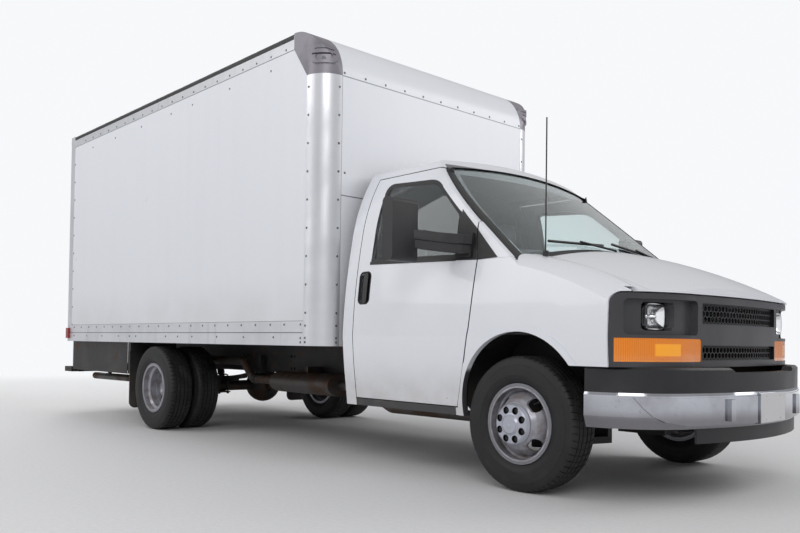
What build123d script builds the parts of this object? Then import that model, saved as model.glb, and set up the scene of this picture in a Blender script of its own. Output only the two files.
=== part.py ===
from build123d import *
import math
import os

# Box truck: a cutaway-van cab and chassis that carries a riveted aluminium van body with a roll-up rear
# door. Millimetres. X runs forward, Y to the left, Z up from the ground. Every x below is measured ahead of
# the front axle, and each finished piece is then moved so that x = 0 is the middle of the overall length.

# Chassis
wheelbase = 4039
front_overhang = 980
step_reach = 205
tyre_radius = 371.5
tyre_width = 223
rim_radius = 220
bead_radius = 204
rim_width = 190
wheel_offset = 130
disc_thickness = 10
front_tyre_y = 857
rear_outer_tyre_y = 1053
rear_inner_tyre_y = rear_outer_tyre_y - 2 * wheel_offset
kingpin_y = 780
spindle_radius = 28
spindle_clearance = 0.05
nut_circle_radius = 82.55
nut_count = 8
nut_well_radius = 18
hand_hole_count = 4

rail_y = 434
rail_flange = 65
rail_height = 180
rail_plate = 6
rail_top = 710
front_rail_top = 570
rail_front = 800
rail_rear_margin = 60
kick_front = -1560
kick_rear = -1800

# Van body
box_front = -1583
box_length = 4572
box_width = 2286
box_underside = 774
bottom_rail_top = 945
roof_top = 2993
top_rail_height = 114
nose_radius = 338
corner_radius = 175
panel_thickness = 30
wall_seam_z = 1821
marker_proud = 12
marker_width = 190
marker_z = (2725, 2855)
rail_proud = 4
roof_thickness = 28
floor_thickness = 30
cross_sill_height = 90
cross_sill_width = 50
cross_sill_count = 13
rear_post_width = 100
rear_header_height = 230
door_section_count = 7

# Cab
cab_back = -1499
cab_underside = 385
skin = 30
door_thickness = 60
frame_thickness = 24
door_gap = 6
front_door_gap = 8
door_hem = 6
hem_step = 6
hinge_x = -268
hinge_y = 965
hinge_heights = (900, 1085)
hinge_pin_radius = 6
hinge_clearance = 0.05
hinge_eye_radius = 10
hinge_eye_height = 30
hinge_plate = 10
glass_thickness = 6
cab_floor_top = 610
cover_top = 980
belt_z = 1290
roof_seam_z = 1925
header_half = 690
header_bottom = 1880
post_bottom = 870
windshield_radius = 4030
windshield_angle = 38.5
windshield_crown = (-12, 1398)
hood_arc_radius = 3100
hood_crown = [(20, 1392), (800, 1135)]
hood_gap = 6
cowl_width = 50
cowl_slot_pitch = 78
hood_pivot = (20, 1328)
hood_pin_radius = 5
hood_hinge_y = 480
hood_arm_width = 14
hood_bottom = 1075
grille_bottom = 700
fender_front = 585
arch_centre = (15, 450)
arch_radius = 425
arch_lip = 38
arch_lip_proud = 6
handle_centre = (-1302, 1165)
handle_size = (110, 210)
handle_depth = 22
seat_y = 540
lamp_y = 720
lamp_z = 955
lamp_half_width = 100
lamp_half_height = 71
turn_z = (727, 845)
turn_inner_y = 450
bezel_corner = 45
recess_depth = 40
recess_y = (480, 930)
recess_z = (862, 1040)
lamp_wall = 6
lamp_fit = 0.3
mesh_half = 440
mesh_rows = [(925, 1030), (735, 812)]
mesh_inset = 26
mesh_thickness = 8
mesh_pitch = 34
mesh_bar = 5
wiper_table = [(-60, -600), (560, 20)]  # pivot y, tip y
plate_hole_pitch = (178, 121)
plate_hole_radius = 3.5

# Outlines of the cab: (x, y) from above, and (x, z) from the side
front_plan = [(fender_front, 1000), (700, 850), (800, 500), (835, 0)]
hood_seam = [(-300, 770), (100, 780), (350, 815), (600, 858), (700, 875), (1000, 875)]
door_rear = -1390
rocker_front = -470
firewall_front = -452
door_bottom = 437
door_front = [(-460, door_bottom), (-433, 528), (-381, 727), (-345, 900), (-332, 1027), (-312, 1288),
              (-338, 1478), (-330, 1600)]
door_outline = [(door_rear, door_bottom)] + door_front + [(-600, roof_seam_z), (door_rear, roof_seam_z)]
window_outline = [(-1262, 1338), (-480, 1310), (-480, 1585), (-775, 1840), (-1265, 1872)]
mirror_foot = [(-476, 1312), (-350, 1308), (-352, 1450), (-476, 1450)]

# Places worked out from the sizes
rear_axle_x = -wheelbase
box_rear = box_front - box_length
overall_length = front_overhang - box_rear + step_reach
front_axle_x = overall_length / 2 - front_overhang
half_box = box_width / 2
nose_seam_z = roof_top - nose_radius
top_rail_bottom = roof_top - top_rail_height
panel_y = half_box - rail_proud
floor_top = box_underside + cross_sill_height + floor_thickness
rear_mount_y = rear_outer_tyre_y - wheel_offset
front_mount_y = front_tyre_y + wheel_offset
rail_rear = box_rear + rail_rear_margin


def block(x0, x1, y0, y1, z0, z1):
    return Pos((x0 + x1) / 2, (y0 + y1) / 2, (z0 + z1) / 2) * Box(abs(x1 - x0), abs(y1 - y0), abs(z1 - z0))


def side_prism(points, y0, y1):
    """A prism along Y from an outline of (x, z) points."""
    face = Plane.XZ * make_face(Polyline(*points, close=True))
    return Pos(0, y1, 0) * extrude(face, y1 - y0)


def plan_prism(points, z0, z1):
    """A prism along Z from an outline of (x, y) points."""
    return Pos(0, 0, z0) * extrude(make_face(Polyline(*points, close=True)), z1 - z0)


def cross_prism(points, x0, x1):
    """A prism along X from an outline of (y, z) points."""
    face = Plane.YZ * make_face(Polyline(*points, close=True))
    return Pos(x0, 0, 0) * extrude(face, x1 - x0)


def rod(start, end, radius):
    """A round bar between two points."""
    a, b = Vector(*start), Vector(*end)
    return extrude(Plane(origin=a, z_dir=(b - a).normalized()) * Circle(radius), (b - a).length)


def pipe(points, bends, radius):
    """A round bar along straight runs joined by arcs."""
    path = FilletPolyline(*points, radius=bends)
    start = Vector(*points[0])
    plane = Plane(origin=start, z_dir=(Vector(*points[1]) - start).normalized())
    return sweep(plane * Circle(radius), path=path)


def both(shape):
    """A piece and its mirror image across the truck's middle."""
    return [shape, mirror(shape, about=Plane.XZ)]


def ring_y(points, y=0):
    """A body of revolution about the Y axis from (y, radius) points."""
    face = Plane.YZ * make_face(Polyline(*points, close=True))
    return Pos(0, y, 0) * revolve(face, axis=Axis.Y)


def solids_of(shapes):
    found = []
    for shape in shapes if isinstance(shapes, (list, tuple)) else [shapes]:
        found += shape.solids()
    return found


def save(name, shapes):
    solids = [s.moved(Location((front_axle_x, 0, 0))) for s in solids_of(shapes)]
    export_step(solids[0] if len(solids) == 1 else Compound(children=solids), f"parts/{name}.step")


os.makedirs("parts", exist_ok=True)


# Ladder frame: two channel rails that step down under the cab, and the members between them
def rail_side(inset):
    drop = rail_top - front_rail_top
    h = rail_height
    return [
        (rail_rear + inset, rail_top - inset), (kick_rear, rail_top - inset),
        (kick_front, rail_top - drop - inset), (rail_front - inset, rail_top - drop - inset),
        (rail_front - inset, rail_top - drop - h + inset), (kick_front, rail_top - drop - h + inset),
        (kick_rear, rail_top - h + inset), (rail_rear + inset, rail_top - h + inset),
    ]


rail = side_prism(rail_side(0), rail_y - rail_flange, rail_y)
rail -= side_prism(rail_side(rail_plate), rail_y - rail_flange - 1, rail_y - rail_plate)
save("frame_rails", both(rail))

member_size = 90
rail_mid_rear = rail_top - rail_height / 2
rail_mid_front = front_rail_top - rail_height / 2
member_places = [
    (720, rail_mid_front), (-1900, rail_mid_rear), (-2900, rail_mid_rear),
    (-3650, rail_mid_rear), (-4500, rail_mid_rear), (-5300, rail_mid_rear),
    (rail_rear + member_size, rail_mid_rear),
]
web_inner_y = rail_y - rail_plate
member_half = member_size / 2
members = []
for x, z in member_places:
    member = block(x - member_half, x + member_half, -web_inner_y, web_inner_y, z - member_half,
                   z + member_half)
    inner_half = member_half - rail_plate
    hollow = block(x - inner_half, x + inner_half, -web_inner_y - 1, web_inner_y + 1, z - member_half - 1,
                   z + inner_half)
    members.append(member - hollow)
gearbox_member = cross_prism([
    (-web_inner_y, 470), (-web_inner_y, 400), (-362, 400), (-250, 290), (250, 290), (362, 400),
    (web_inner_y, 400), (web_inner_y, 470), (350, 470), (235, 325), (-235, 325), (-350, 470),
], -945, -855)
save("frame_crossmembers", members + [gearbox_member])

# Engine, one plain block, with the gearbox behind it
engine = block(-330, 420, -270, 270, 470, 1010)
gearbox = extrude(Plane(origin=(-330, 0, 470), z_dir=(-1, 0, 0)) * Rectangle(280, 280), 700, taper=6)
save("engine_block", engine + gearbox)

# Propeller shaft between the gearbox and the final drive
shaft_front = (-1030, 0, 470)
shaft_rear = (rear_axle_x + 175, 0, tyre_radius)
joint_length = 45
shaft_ends = [(shaft_front[0] - joint_length / 2, 0, shaft_front[2]),
              (shaft_rear[0] + joint_length / 2, 0, shaft_rear[2])]
propshaft = rod(*shaft_ends, 45)
propshaft += rod(shaft_front, (shaft_front[0] - joint_length, 0, shaft_front[2]), 60)
propshaft += rod(shaft_rear, (shaft_rear[0] + joint_length, 0, shaft_rear[2]), 60)
save("propshaft", propshaft)

# Front suspension: a crossmember under the engine with two arms and a coil spring on each side
lower_arm_z = (235, 275)
upper_arm_z = (490, 515)
ball_gap = 0.3
arm_tip = 35


def arm(root_half, root_y, z0, z1):
    """A flat wishbone from its pivots to a round end under or over the kingpin."""
    outline = plan_prism([(-root_half, root_y), (root_half, root_y), (arm_tip, kingpin_y),
                          (-arm_tip, kingpin_y)], z0, z1)
    return outline + Pos(0, kingpin_y, (z0 + z1) / 2) * Cylinder(arm_tip, z1 - z0)


front_suspension = block(-110, 110, -rail_y, rail_y, 330, front_rail_top - rail_height)
spring = Pos(0, 510, lower_arm_z[1]) * Cylinder(62, 250, align=(Align.CENTER, Align.CENTER, Align.MIN))
spring_seat = block(-60, 60, rail_y, 560, 500, 530)
lower_pivot = block(-170, 170, 300, 340, lower_arm_z[1], 331)
for piece in (arm(170, 300, *lower_arm_z), arm(110, rail_y, *upper_arm_z), spring, spring_seat,
              lower_pivot):
    for half in both(piece):
        front_suspension += half
save("front_suspension", front_suspension)


# Steering knuckles with their spindles, held between the ends of the arms
def knuckle(side):
    upright = block(-45, 45, kingpin_y - 35, kingpin_y + 35, lower_arm_z[1] + ball_gap,
                    upper_arm_z[0] - ball_gap)
    spindle = Pos(0, kingpin_y, tyre_radius) * Rot(-90, 0, 0) * Cylinder(
        spindle_radius, front_mount_y - 20 - kingpin_y, align=(Align.CENTER, Align.CENTER, Align.MIN))
    steer_arm = block(-190, -40, kingpin_y - 75, kingpin_y - 50, 330, 360)
    root = block(-45, 0, kingpin_y - 75, kingpin_y - 34, 330, 360)
    body = upright + spindle + steer_arm + root
    return body if side > 0 else mirror(body, about=Plane.XZ)


# Wheels: each is drawn about the Y axis with its outer side towards +Y
def tyre():
    bead_y = rim_width / 2 - 8.5
    seat = bead_radius + 0.3
    half = [(bead_y, seat), (bead_y, 222), (108, 258), (111.5, 298), (104, 348), (92, 365), (76, 371.5)]
    inner = [(bead_y - 16, seat), (bead_y - 16, 228), (97, 285), (84, 346)]
    outline = half + [(-y, r) for y, r in reversed(half)]
    outline += [(-y, r) for y, r in inner] + list(reversed(inner))
    return ring_y([(y * tyre_width / 223, r) for y, r in outline])


def rim(outward):
    """A steel disc wheel centred on its rim; its disc reaches the mounting face on the side given."""
    w = rim_width / 2
    barrel = ring_y([
        (-w, rim_radius), (-w + 8, rim_radius), (-w + 8, bead_radius), (-50, bead_radius - 2), (-36, 182),
        (30, 182), (44, bead_radius - 2), (w - 8, bead_radius), (w - 8, rim_radius), (w, rim_radius),
        (w, bead_radius - 8), (46, bead_radius - 9), (32, 175), (-38, 175), (-52, bead_radius - 9),
        (-w, bead_radius - 8),
    ])
    t = disc_thickness
    face = wheel_offset
    disc = ring_y([
        (20, 178), (60, 172), (face - 22, 140), (face, 118), (face, 58),
        (face - t, 58), (face - t, 114), (face - 30, 132), (52, 163), (20, 168),
    ])
    hole = Pos(0, 0, 0) * Rot(-90, 0, 0) * extrude(SlotOverall(84, 44), wheel_offset + 60)
    for i in range(hand_hole_count):
        angle = 45 + i * 360 / hand_hole_count
        disc -= Rot(0, angle, 0) * Pos(0, 30, 150) * hole
    body = barrel + disc
    return body if outward > 0 else mirror(body, about=Plane.XZ)


def hub_cover(length):
    """A pressed cover with a domed middle and a round well over each wheel nut."""
    cover = ring_y([(0, 0), (0, 116), (10, 116), (26, 106), (32, 98), (34, 62), (length - 8, 50),
                    (length, 30), (length + 3, 0)])
    well = Rot(-90, 0, 0) * Cylinder(nut_well_radius, 200)
    for i in range(nut_count):
        cover -= Rot(0, (i + 0.5) * 360 / nut_count, 0) * Pos(0, 0, nut_circle_radius) * well
    return cover


def hub(length, bore_depth, covered):
    """Hub and nuts outboard of the mounting face at y = 0, with the spindle's bore on the inner side."""
    body = ring_y([(-bore_depth, 0), (-bore_depth, 75), (-disc_thickness, 75), (-disc_thickness, 57),
                   (length - 10, 57), (length, 45), (length, 0)])
    if covered:
        body += hub_cover(length)
    for i in range(nut_count):
        angle = (i + 0.5) * 360 / nut_count
        nut = Rot(-90, 0, 0) * extrude(RegularPolygon(14, 6), 24)
        body += Rot(0, angle, 0) * Pos(0, 0, nut_circle_radius) * nut
    bore = Rot(-90, 0, 0) * Cylinder(spindle_radius + spindle_clearance, bore_depth + 30)
    return body - Pos(0, -bore_depth / 2, 0) * bore


front_hub_length = 45
rear_hub_length = 95
front_bore_depth = 70
rear_bore_depth = 110
for side, tag in ((1, "left"), (-1, "right")):
    wheel = rim(1)
    front = Pos(0, front_tyre_y, tyre_radius) * wheel
    front += Pos(0, front_mount_y, tyre_radius) * hub(front_hub_length, front_bore_depth, True)
    outer = Pos(rear_axle_x, rear_outer_tyre_y, tyre_radius) * rim(-1)
    inner = Pos(rear_axle_x, rear_inner_tyre_y, tyre_radius) * wheel
    rear = outer + inner
    rear_hub = hub(rear_hub_length, rear_bore_depth, False)
    rear += Pos(rear_axle_x, rear_mount_y + disc_thickness, tyre_radius) * rear_hub
    rubber = tyre()
    front_tyre = Pos(0, front_tyre_y, tyre_radius) * rubber
    rear_tyres = [Pos(rear_axle_x, y, tyre_radius) * rubber for y in (rear_inner_tyre_y, rear_outer_tyre_y)]
    if side < 0:
        front, rear, front_tyre = (mirror(s, about=Plane.XZ) for s in (front, rear, front_tyre))
        rear_tyres = [mirror(s, about=Plane.XZ) for s in rear_tyres]
    save(f"rim_front_{tag}", front)
    save(f"rims_rear_{tag}", rear)
    save(f"tyre_front_{tag}", front_tyre)
    save(f"tyres_rear_{tag}", rear_tyres)
    save(f"knuckle_{tag}", knuckle(side))

# Rear axle with its final drive, and the leaf springs under the rails
axle_end = rear_mount_y - 20
axle = rod((rear_axle_x, -640, tyre_radius), (rear_axle_x, 640, tyre_radius), 48)
axle += rod((rear_axle_x, -axle_end, tyre_radius), (rear_axle_x, axle_end, tyre_radius), spindle_radius)
axle += Pos(rear_axle_x, 0, tyre_radius) * Sphere(165)
axle += rod((rear_axle_x + 100, 0, tyre_radius), shaft_rear, 70)
save("rear_axle", axle)

leaf_width = 63
spring_y = rail_y + 10 + leaf_width / 2
spring_half = 720
spring_sag = 90
spring_low = tyre_radius + 48
leaf_table = [(1.0, 0), (0.8, 1), (0.6, 2), (0.4, 3)]  # share of the half length, place in the pack
leaf_thickness = 12
spring_pack = None
for share, place in leaf_table:
    reach = spring_half * share
    rise = spring_sag * share ** 2
    z = spring_low + (len(leaf_table) - 1 - place) * leaf_thickness
    lower = ThreePointArc((-reach, z + rise), (0, z), (reach, z + rise))
    upper = ThreePointArc((-reach, z + rise + leaf_thickness), (0, z + leaf_thickness),
                          (reach, z + rise + leaf_thickness))
    ends = [Line(lower @ 0, upper @ 0), Line(lower @ 1, upper @ 1)]
    leaf = extrude(Plane.XZ * make_face([lower, upper] + ends), leaf_width)
    spring_pack = leaf if spring_pack is None else spring_pack + leaf
spring_pack = Pos(rear_axle_x, spring_y + leaf_width / 2, 0) * spring_pack
hanger_z = spring_low + spring_sag + len(leaf_table) * leaf_thickness - 20
for x in (-spring_half + 20, spring_half - 20):
    spring_pack += block(rear_axle_x + x - 30, rear_axle_x + x + 30, rail_y, rail_y + 60, hanger_z - 20,
                         rail_top - 40)
    spring_pack += rod((rear_axle_x + x, rail_y, hanger_z),
                       (rear_axle_x + x, spring_y + leaf_width / 2, hanger_z), 22)
save("leaf_springs", both(spring_pack))

# Fuel tank on the left, exhaust on the right
tank = block(-2850, -1750, rail_y + 25, rail_y + 425, 400, 690)
tank = fillet(tank.edges().filter_by(Axis.X), 60)
for x in (-2650, -2000):
    tank += block(x, x + 50, rail_y, rail_y + 25, 560, 700)
save("fuel_tank", tank)

pipe_radius = 35
muffler_x = (-2850, -2050)
exhaust_y = -(rail_y + 140)
muffler = Pos(muffler_x[0], exhaust_y, 470) * extrude(Plane.YZ * Ellipse(130, 85),
                                                      muffler_x[1] - muffler_x[0])
tail = pipe([(muffler_x[0] + 5, exhaust_y, 470), (-3300, exhaust_y, 470), (-3450, exhaust_y, 620),
             (-4650, exhaust_y, 620), (-4800, -900, 410), (-5820, -960, 410)], 70, pipe_radius)
front_pipe = pipe([(muffler_x[1] - 5, exhaust_y, 470), (-1800, exhaust_y, 470), (-1500, -540, 335),
                   (-620, -520, 335), (-420, -250, 335), (-250, -200, 335), (-250, -200, 470)],
                  50, pipe_radius)
hangers = block(-2500, -2470, exhaust_y - 10, -rail_y, 545, 600)
hangers += block(-5500, -5470, -960, -930, 440, box_underside)
save("exhaust", muffler + tail + front_pipe + hangers)

# Rear step bumper, side skirts and mudflaps
step_z = (440, 495)
step_half = half_box - 53
bracket_y = half_box - 143
step = block(box_rear - step_reach, box_rear - 5, -step_half, step_half, *step_z)
for y, reach, top in ((-rail_y + 30, rail_rear_margin, 700), (rail_y - 30, rail_rear_margin, 700),
                      (-bracket_y, 38, box_underside), (bracket_y, 38, box_underside)):
    step += block(box_rear - 5, box_rear + reach, y - 28, y + 28, step_z[0], top)
    step += side_prism([(box_rear - step_reach + 40, step_z[1]), (box_rear, step_z[1]),
                        (box_rear, step_z[1] + 120)], y - 4, y + 4)
slot_row = (box_rear - 75, box_rear - 145)
for x in slot_row:
    for y in range(-900, 901, 180):
        step -= Pos(x, y, step_z[0] - 1) * extrude(Rot(0, 0, 90) * SlotOverall(120, 24),
                                                   step_z[1] - step_z[0] + 2)
save("rear_step_bumper", step)

skirt_y = half_box - 40
skirt = block(box_rear + 65, -4700, skirt_y - 4, skirt_y, 470, box_underside)
skirt += block(box_rear + 65, -4700, skirt_y - 40, skirt_y, 470, 474)
save("rear_skirts", both(skirt))

flap_x = -4600
flap = block(flap_x - 8, flap_x, 670, 1120, 150, 700)
flap = fillet(flap.edges().filter_by(Axis.X).sort_by(Axis.Z)[0:2], 60)
flap += block(flap_x - 30, flap_x + 20, 660, 1125, 690, box_underside)
save("mudflaps", both(flap))

# Floor of the van body: long sills on the frame rails, cross sills, and the deck
sill_run = (box_rear + 40, kick_rear)
sills = [block(*sill_run, y - rail_flange / 2, y + rail_flange / 2, rail_top, box_underside)
         for y in (rail_y - rail_flange / 2, -rail_y + rail_flange / 2)]
pitch = (sill_run[1] - sill_run[0] - cross_sill_width) / (cross_sill_count - 1)
inner_y = half_box - 60
floor_sills = sills[0] + sills[1]
for i in range(cross_sill_count):
    x = sill_run[0] + i * pitch
    floor_sills += block(x, x + cross_sill_width, -inner_y, inner_y, box_underside,
                         box_underside + cross_sill_height)
save("floor_sills", floor_sills)
side_front = box_front - corner_radius
wall_half = half_box - corner_radius
panel_inner = panel_y - panel_thickness
deck_z = (floor_top - floor_thickness, floor_top)
box_floor = block(box_rear + rear_post_width, side_front, -panel_inner, panel_inner, *deck_z)
box_floor += block(side_front, box_front - panel_thickness, -wall_half, wall_half, *deck_z)
save("box_floor", box_floor)

nose_back = box_front - nose_radius

# Side rails: the deep bottom rail and the top rail under the roof's edge
bottom_rail = block(box_rear + rear_post_width, side_front, inner_y, half_box, box_underside,
                    bottom_rail_top)
bottom_rail -= block(box_rear + rear_post_width, side_front, inner_y, panel_inner, deck_z[0],
                     bottom_rail_top)
top_rail = block(box_rear + rear_post_width, box_front - nose_radius, half_box - 60, half_box,
                 top_rail_bottom, roof_top)
top_rail = fillet(top_rail.edges().filter_by(Axis.X).sort_by(Axis.Z)[2:4].sort_by(Axis.Y)[1:2], 20)
top_rail -= block(box_rear, box_front, half_box - 61, half_box - 30, top_rail_bottom - 1,
                  roof_top - roof_thickness)
save("side_rails", both(bottom_rail) + both(top_rail))

side_panel = block(box_rear + rear_post_width, side_front, panel_inner, panel_y, bottom_rail_top,
                   top_rail_bottom)
cap_line = [(nose_back, roof_top + 20), (nose_back, top_rail_bottom), (side_front, nose_seam_z),
            (side_front + 400, nose_seam_z), (side_front + 400, roof_top + 20)]
side_panel -= side_prism(cap_line, 0, box_width)
save("box_sides", both(side_panel))

# Front of the van body: flat wall between round corner posts, and the nose that turns back into the roof
post_ring = Circle(corner_radius) - Circle(corner_radius - panel_thickness)
quarter = Pos(corner_radius / 2, corner_radius / 2) * Rectangle(corner_radius, corner_radius)
post = extrude(post_ring & quarter, nose_seam_z - box_underside)
post = Pos(side_front, half_box - corner_radius, box_underside) * post
save("corner_posts", both(post))
front_wall = block(box_front - panel_thickness, box_front, -wall_half, wall_half, box_underside,
                   nose_seam_z)
front_wall -= block(box_front - 3, box_front + 1, -wall_half, wall_half, wall_seam_z - 2, wall_seam_z + 2)
save("box_front_wall", front_wall)


def nose_profile(inset):
    """Everything under the nose's rounded front and top, seen from the side."""
    r = nose_radius - inset
    middle = r * math.cos(math.pi / 4)
    arc = ThreePointArc((nose_back + r, nose_seam_z), (nose_back + middle, nose_seam_z + middle),
                        (nose_back, nose_seam_z + r))
    sides = Polyline((nose_back, nose_seam_z + r), (nose_back - 60, nose_seam_z + r),
                     (nose_back - 60, nose_seam_z - 60), (nose_back + r, nose_seam_z - 60),
                     (nose_back + r, nose_seam_z))
    return extrude(Plane.XZ * make_face([arc, sides]), box_width, both=True)


def nose_plan_block(inset):
    """The body's round front corners seen from above, as a block."""
    length = 800
    face = RectangleRounded(length, 2 * (half_box - inset), corner_radius - inset)
    return Pos(box_front - inset - length / 2, 0, nose_seam_z - 200) * extrude(face, 700)


def nose_form(inset):
    return nose_profile(inset) & nose_plan_block(inset)


def marker_room(width, low, high, corner):
    """A bar with rounded corners that points out through the body's front corner at 45 degrees."""
    bar = Pos(0, 0, (low + high) / 2) * extrude(Plane.YZ * RectangleRounded(width, high - low, corner), 260)
    return Pos(side_front, wall_half, 0) * Rot(0, 0, 45) * bar


nose = nose_form(0) - nose_form(panel_thickness)
nose &= side_prism(cap_line, -box_width, box_width)
cap_room = block(nose_back, box_front + 50, wall_half, half_box + 50, nose_seam_z, roof_top + 50)
low, high = marker_z
housing = (nose_form(-marker_proud) - nose_form(5)) & marker_room(marker_width, low, high, 40)
lens_depth = nose_form(-marker_proud - 1) - nose_form(6 - marker_proud)
cap = (nose + housing) & cap_room
cap -= lens_depth & marker_room(120, low + 22, high - 60, 22)
cap -= lens_depth & marker_room(130, high - 36, high - 26, 4)
save("corner_caps", both(cap))
save("nose_cap", nose & block(nose_back, box_front + 10, -wall_half, wall_half, nose_seam_z, roof_top + 10))
save("box_roof", block(box_rear + rear_post_width, nose_back, -inner_y, inner_y,
                       roof_top - roof_thickness, roof_top))

# Rear frame and the roll-up door that fills it
door_half = half_box - rear_post_width
header_z = roof_top - rear_header_height
rear_frame = block(box_rear, box_rear + rear_post_width, -half_box, half_box, box_underside, roof_top)
rear_frame -= block(box_rear - 1, box_rear + rear_post_width + 1, -door_half, door_half, floor_top,
                    header_z)
rear_frame -= block(box_rear + 40, box_rear + rear_post_width + 1, -inner_y, inner_y, box_underside - 1,
                    deck_z[0])
for s in (1, -1):
    rear_frame += rod((box_rear - 45, s * (door_half + 50), 1150),
                      (box_rear - 45, s * (door_half + 50), 1500), 10)
    for z in (1150, 1500):
        rear_frame += rod((box_rear - 50, s * (door_half + 50), z),
                          (box_rear + 5, s * (door_half + 50), z), 10)
save("rear_frame", rear_frame)

door_height = header_z - floor_top
section = door_height / door_section_count
door_x = box_rear + 35
shutter = block(door_x, door_x + 25, -door_half, door_half, floor_top, header_z)
for i in range(1, door_section_count):
    z = floor_top + i * section
    shutter -= block(door_x - 1, door_x + 6, -door_half, door_half, z - 3, z + 3)
shutter += block(door_x - 20, door_x + 1, -90, 90, floor_top + 60, floor_top + 150)
save("rollup_door", shutter)

# Small lamps of the van body
lamps = []
for y in (-170, 0, 170):
    lamps.append(block(box_rear - 18, box_rear, y - 50, y + 50, roof_top - 70, roof_top - 35))
for s in (1, -1):
    lamps.append(block(box_rear - 18, box_rear, s * (half_box - 45) - 40, s * (half_box - 45) + 40,
                       roof_top - 70, roof_top - 35))
    lamps.append(block(box_rear + 10, box_rear + 70, s * half_box, s * (half_box + 24), 805, 915))
    for y in (700, 860):
        lamps.append(block(box_rear - 14, box_rear, s * y - 60, s * y + 60, 800, 870))
save("body_lamps", lamps)


# Cab. Its outer form is one section along the body, met by the curved windshield, the hood's crown and the
# nose's plan.
def cab_section(inset):
    bottom, sill, wide = (950, cab_underside), (969, 540), (998, 850)
    belt, roof_edge, roof_side = (929, 1484), (763, 1941), (690, 1995)
    right = [
        Line((0, cab_underside), bottom), Line(bottom, sill), ThreePointArc(sill, (987, 690), wide),
        ThreePointArc(wide, (975.5, 1168), belt), ThreePointArc(belt, (869.5, 1721), roof_edge),
        ThreePointArc(roof_edge, (737, 1974), roof_side), ThreePointArc(roof_side, (350, 2021), (0, 2030)),
    ]
    left = [mirror(edge, about=Plane.YZ) for edge in right]
    face = make_face(right + left)
    if inset:
        face = offset(face, -inset, kind=Kind.INTERSECTION)
    return face


def cab_tube(inset, x0=cab_back, x1=900):
    return Pos(x0, 0, 0) * extrude(Plane.YZ * cab_section(inset), x1 - x0)


def windshield_drum(inset):
    """Everything behind the windshield's outer surface."""
    a = math.radians(windshield_angle)
    x = windshield_crown[0] - windshield_radius * math.sin(a)
    z = windshield_crown[1] - windshield_radius * math.cos(a)
    axis = Plane(origin=(x, 0, z), z_dir=(-math.cos(a), 0, math.sin(a)))
    return extrude(axis * Circle(windshield_radius - inset), 4000, both=True)


chord = math.dist(*hood_crown)
hood_slope = math.atan2(hood_crown[0][1] - hood_crown[1][1], hood_crown[1][0] - hood_crown[0][0])
hood_sag = math.sqrt(hood_arc_radius ** 2 - (chord / 2) ** 2)
hood_centre = ((hood_crown[0][0] + hood_crown[1][0]) / 2 - hood_sag * math.sin(hood_slope),
               (hood_crown[0][1] + hood_crown[1][1]) / 2 - hood_sag * math.cos(hood_slope))


def hood_drum(inset):
    """Everything below the hood's surface: a crowned section turned about an axis across the truck."""
    top = hood_arc_radius - inset
    shoulder, turn, edge = (800, top - 86), (940, top - 128), (1010 - inset, top - 240)
    right = [ThreePointArc((0, top), (400, top - 21), shoulder), ThreePointArc(shoulder, turn, edge),
             Line(edge, (edge[0], top - 1400)), Line((edge[0], top - 1400), (0, top - 1400))]
    left = [mirror(e, about=Plane.YZ) for e in right]
    face = Pos(hood_centre[0], 0, hood_centre[1]) * (Plane.YZ * make_face(right + left))
    axis = Axis((hood_centre[0], 0, hood_centre[1]), (0, 1, 0))
    return revolve(face.rotate(axis, -20), axis=axis, revolution_arc=60)


def nose_plan(inset):
    """The front end seen from above, as a block."""
    corner, turn, lamp, centre = [(x - inset, y) for x, y in front_plan]
    back = cab_back - 500
    right = [Line((back, 1300), (corner[0], 1300)), Line((corner[0], 1300), corner),
             ThreePointArc(corner, turn, lamp)]
    far = [mirror(e, about=Plane.XZ) for e in right]
    face = make_face(right + [ThreePointArc(lamp, centre, (lamp[0], -lamp[1])),
                              Line((back, 1300), (back, -1300))] + far)
    return extrude(face, 3000)


def greenhouse(inset):
    return cab_tube(inset) & windshield_drum(inset)


def front_end(inset):
    return cab_tube(inset, cab_back + 600) & hood_drum(inset) & nose_plan(inset)


def side_cut(outline, side, grow=0):
    """A prism through one side of the cab from an outline of (x, z) points."""
    face = make_face(Polyline(*outline, close=True))
    if grow:
        face = offset(face, grow, kind=Kind.INTERSECTION)
    prism = Pos(0, 1200, 0) * extrude(Plane.XZ * face, 800)
    return prism if side > 0 else mirror(prism, about=Plane.XZ)


def side_skin(inset, thickness):
    return cab_tube(inset) - cab_tube(inset + thickness)


def cab_half_width(z):
    """The cab's half width at a height between the sill and the belt, where its side is a long arc."""
    slice_face = cab_section(0) & Pos(0, z) * Rectangle(3000, 1)
    return slice_face.bounding_box().max.X


front_shell = front_end(0) - front_end(skin)
cab_shell = (greenhouse(0) + front_end(0)) - (greenhouse(skin) + front_end(skin))

# Doors, each with its window cut, and the glass seated in the cut
below_belt = block(-1600, 0, -1100, 1100, 0, belt_z) - block(-1600, 0, -900, 900, 0, 600)
door_skin = side_skin(0, door_hem) & below_belt
door_body = side_skin(door_hem, door_thickness - door_hem) & below_belt
high_door = side_skin(0, frame_thickness) & windshield_drum(4) & block(-1600, 0, -1100, 1100, belt_z, 2000)


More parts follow.
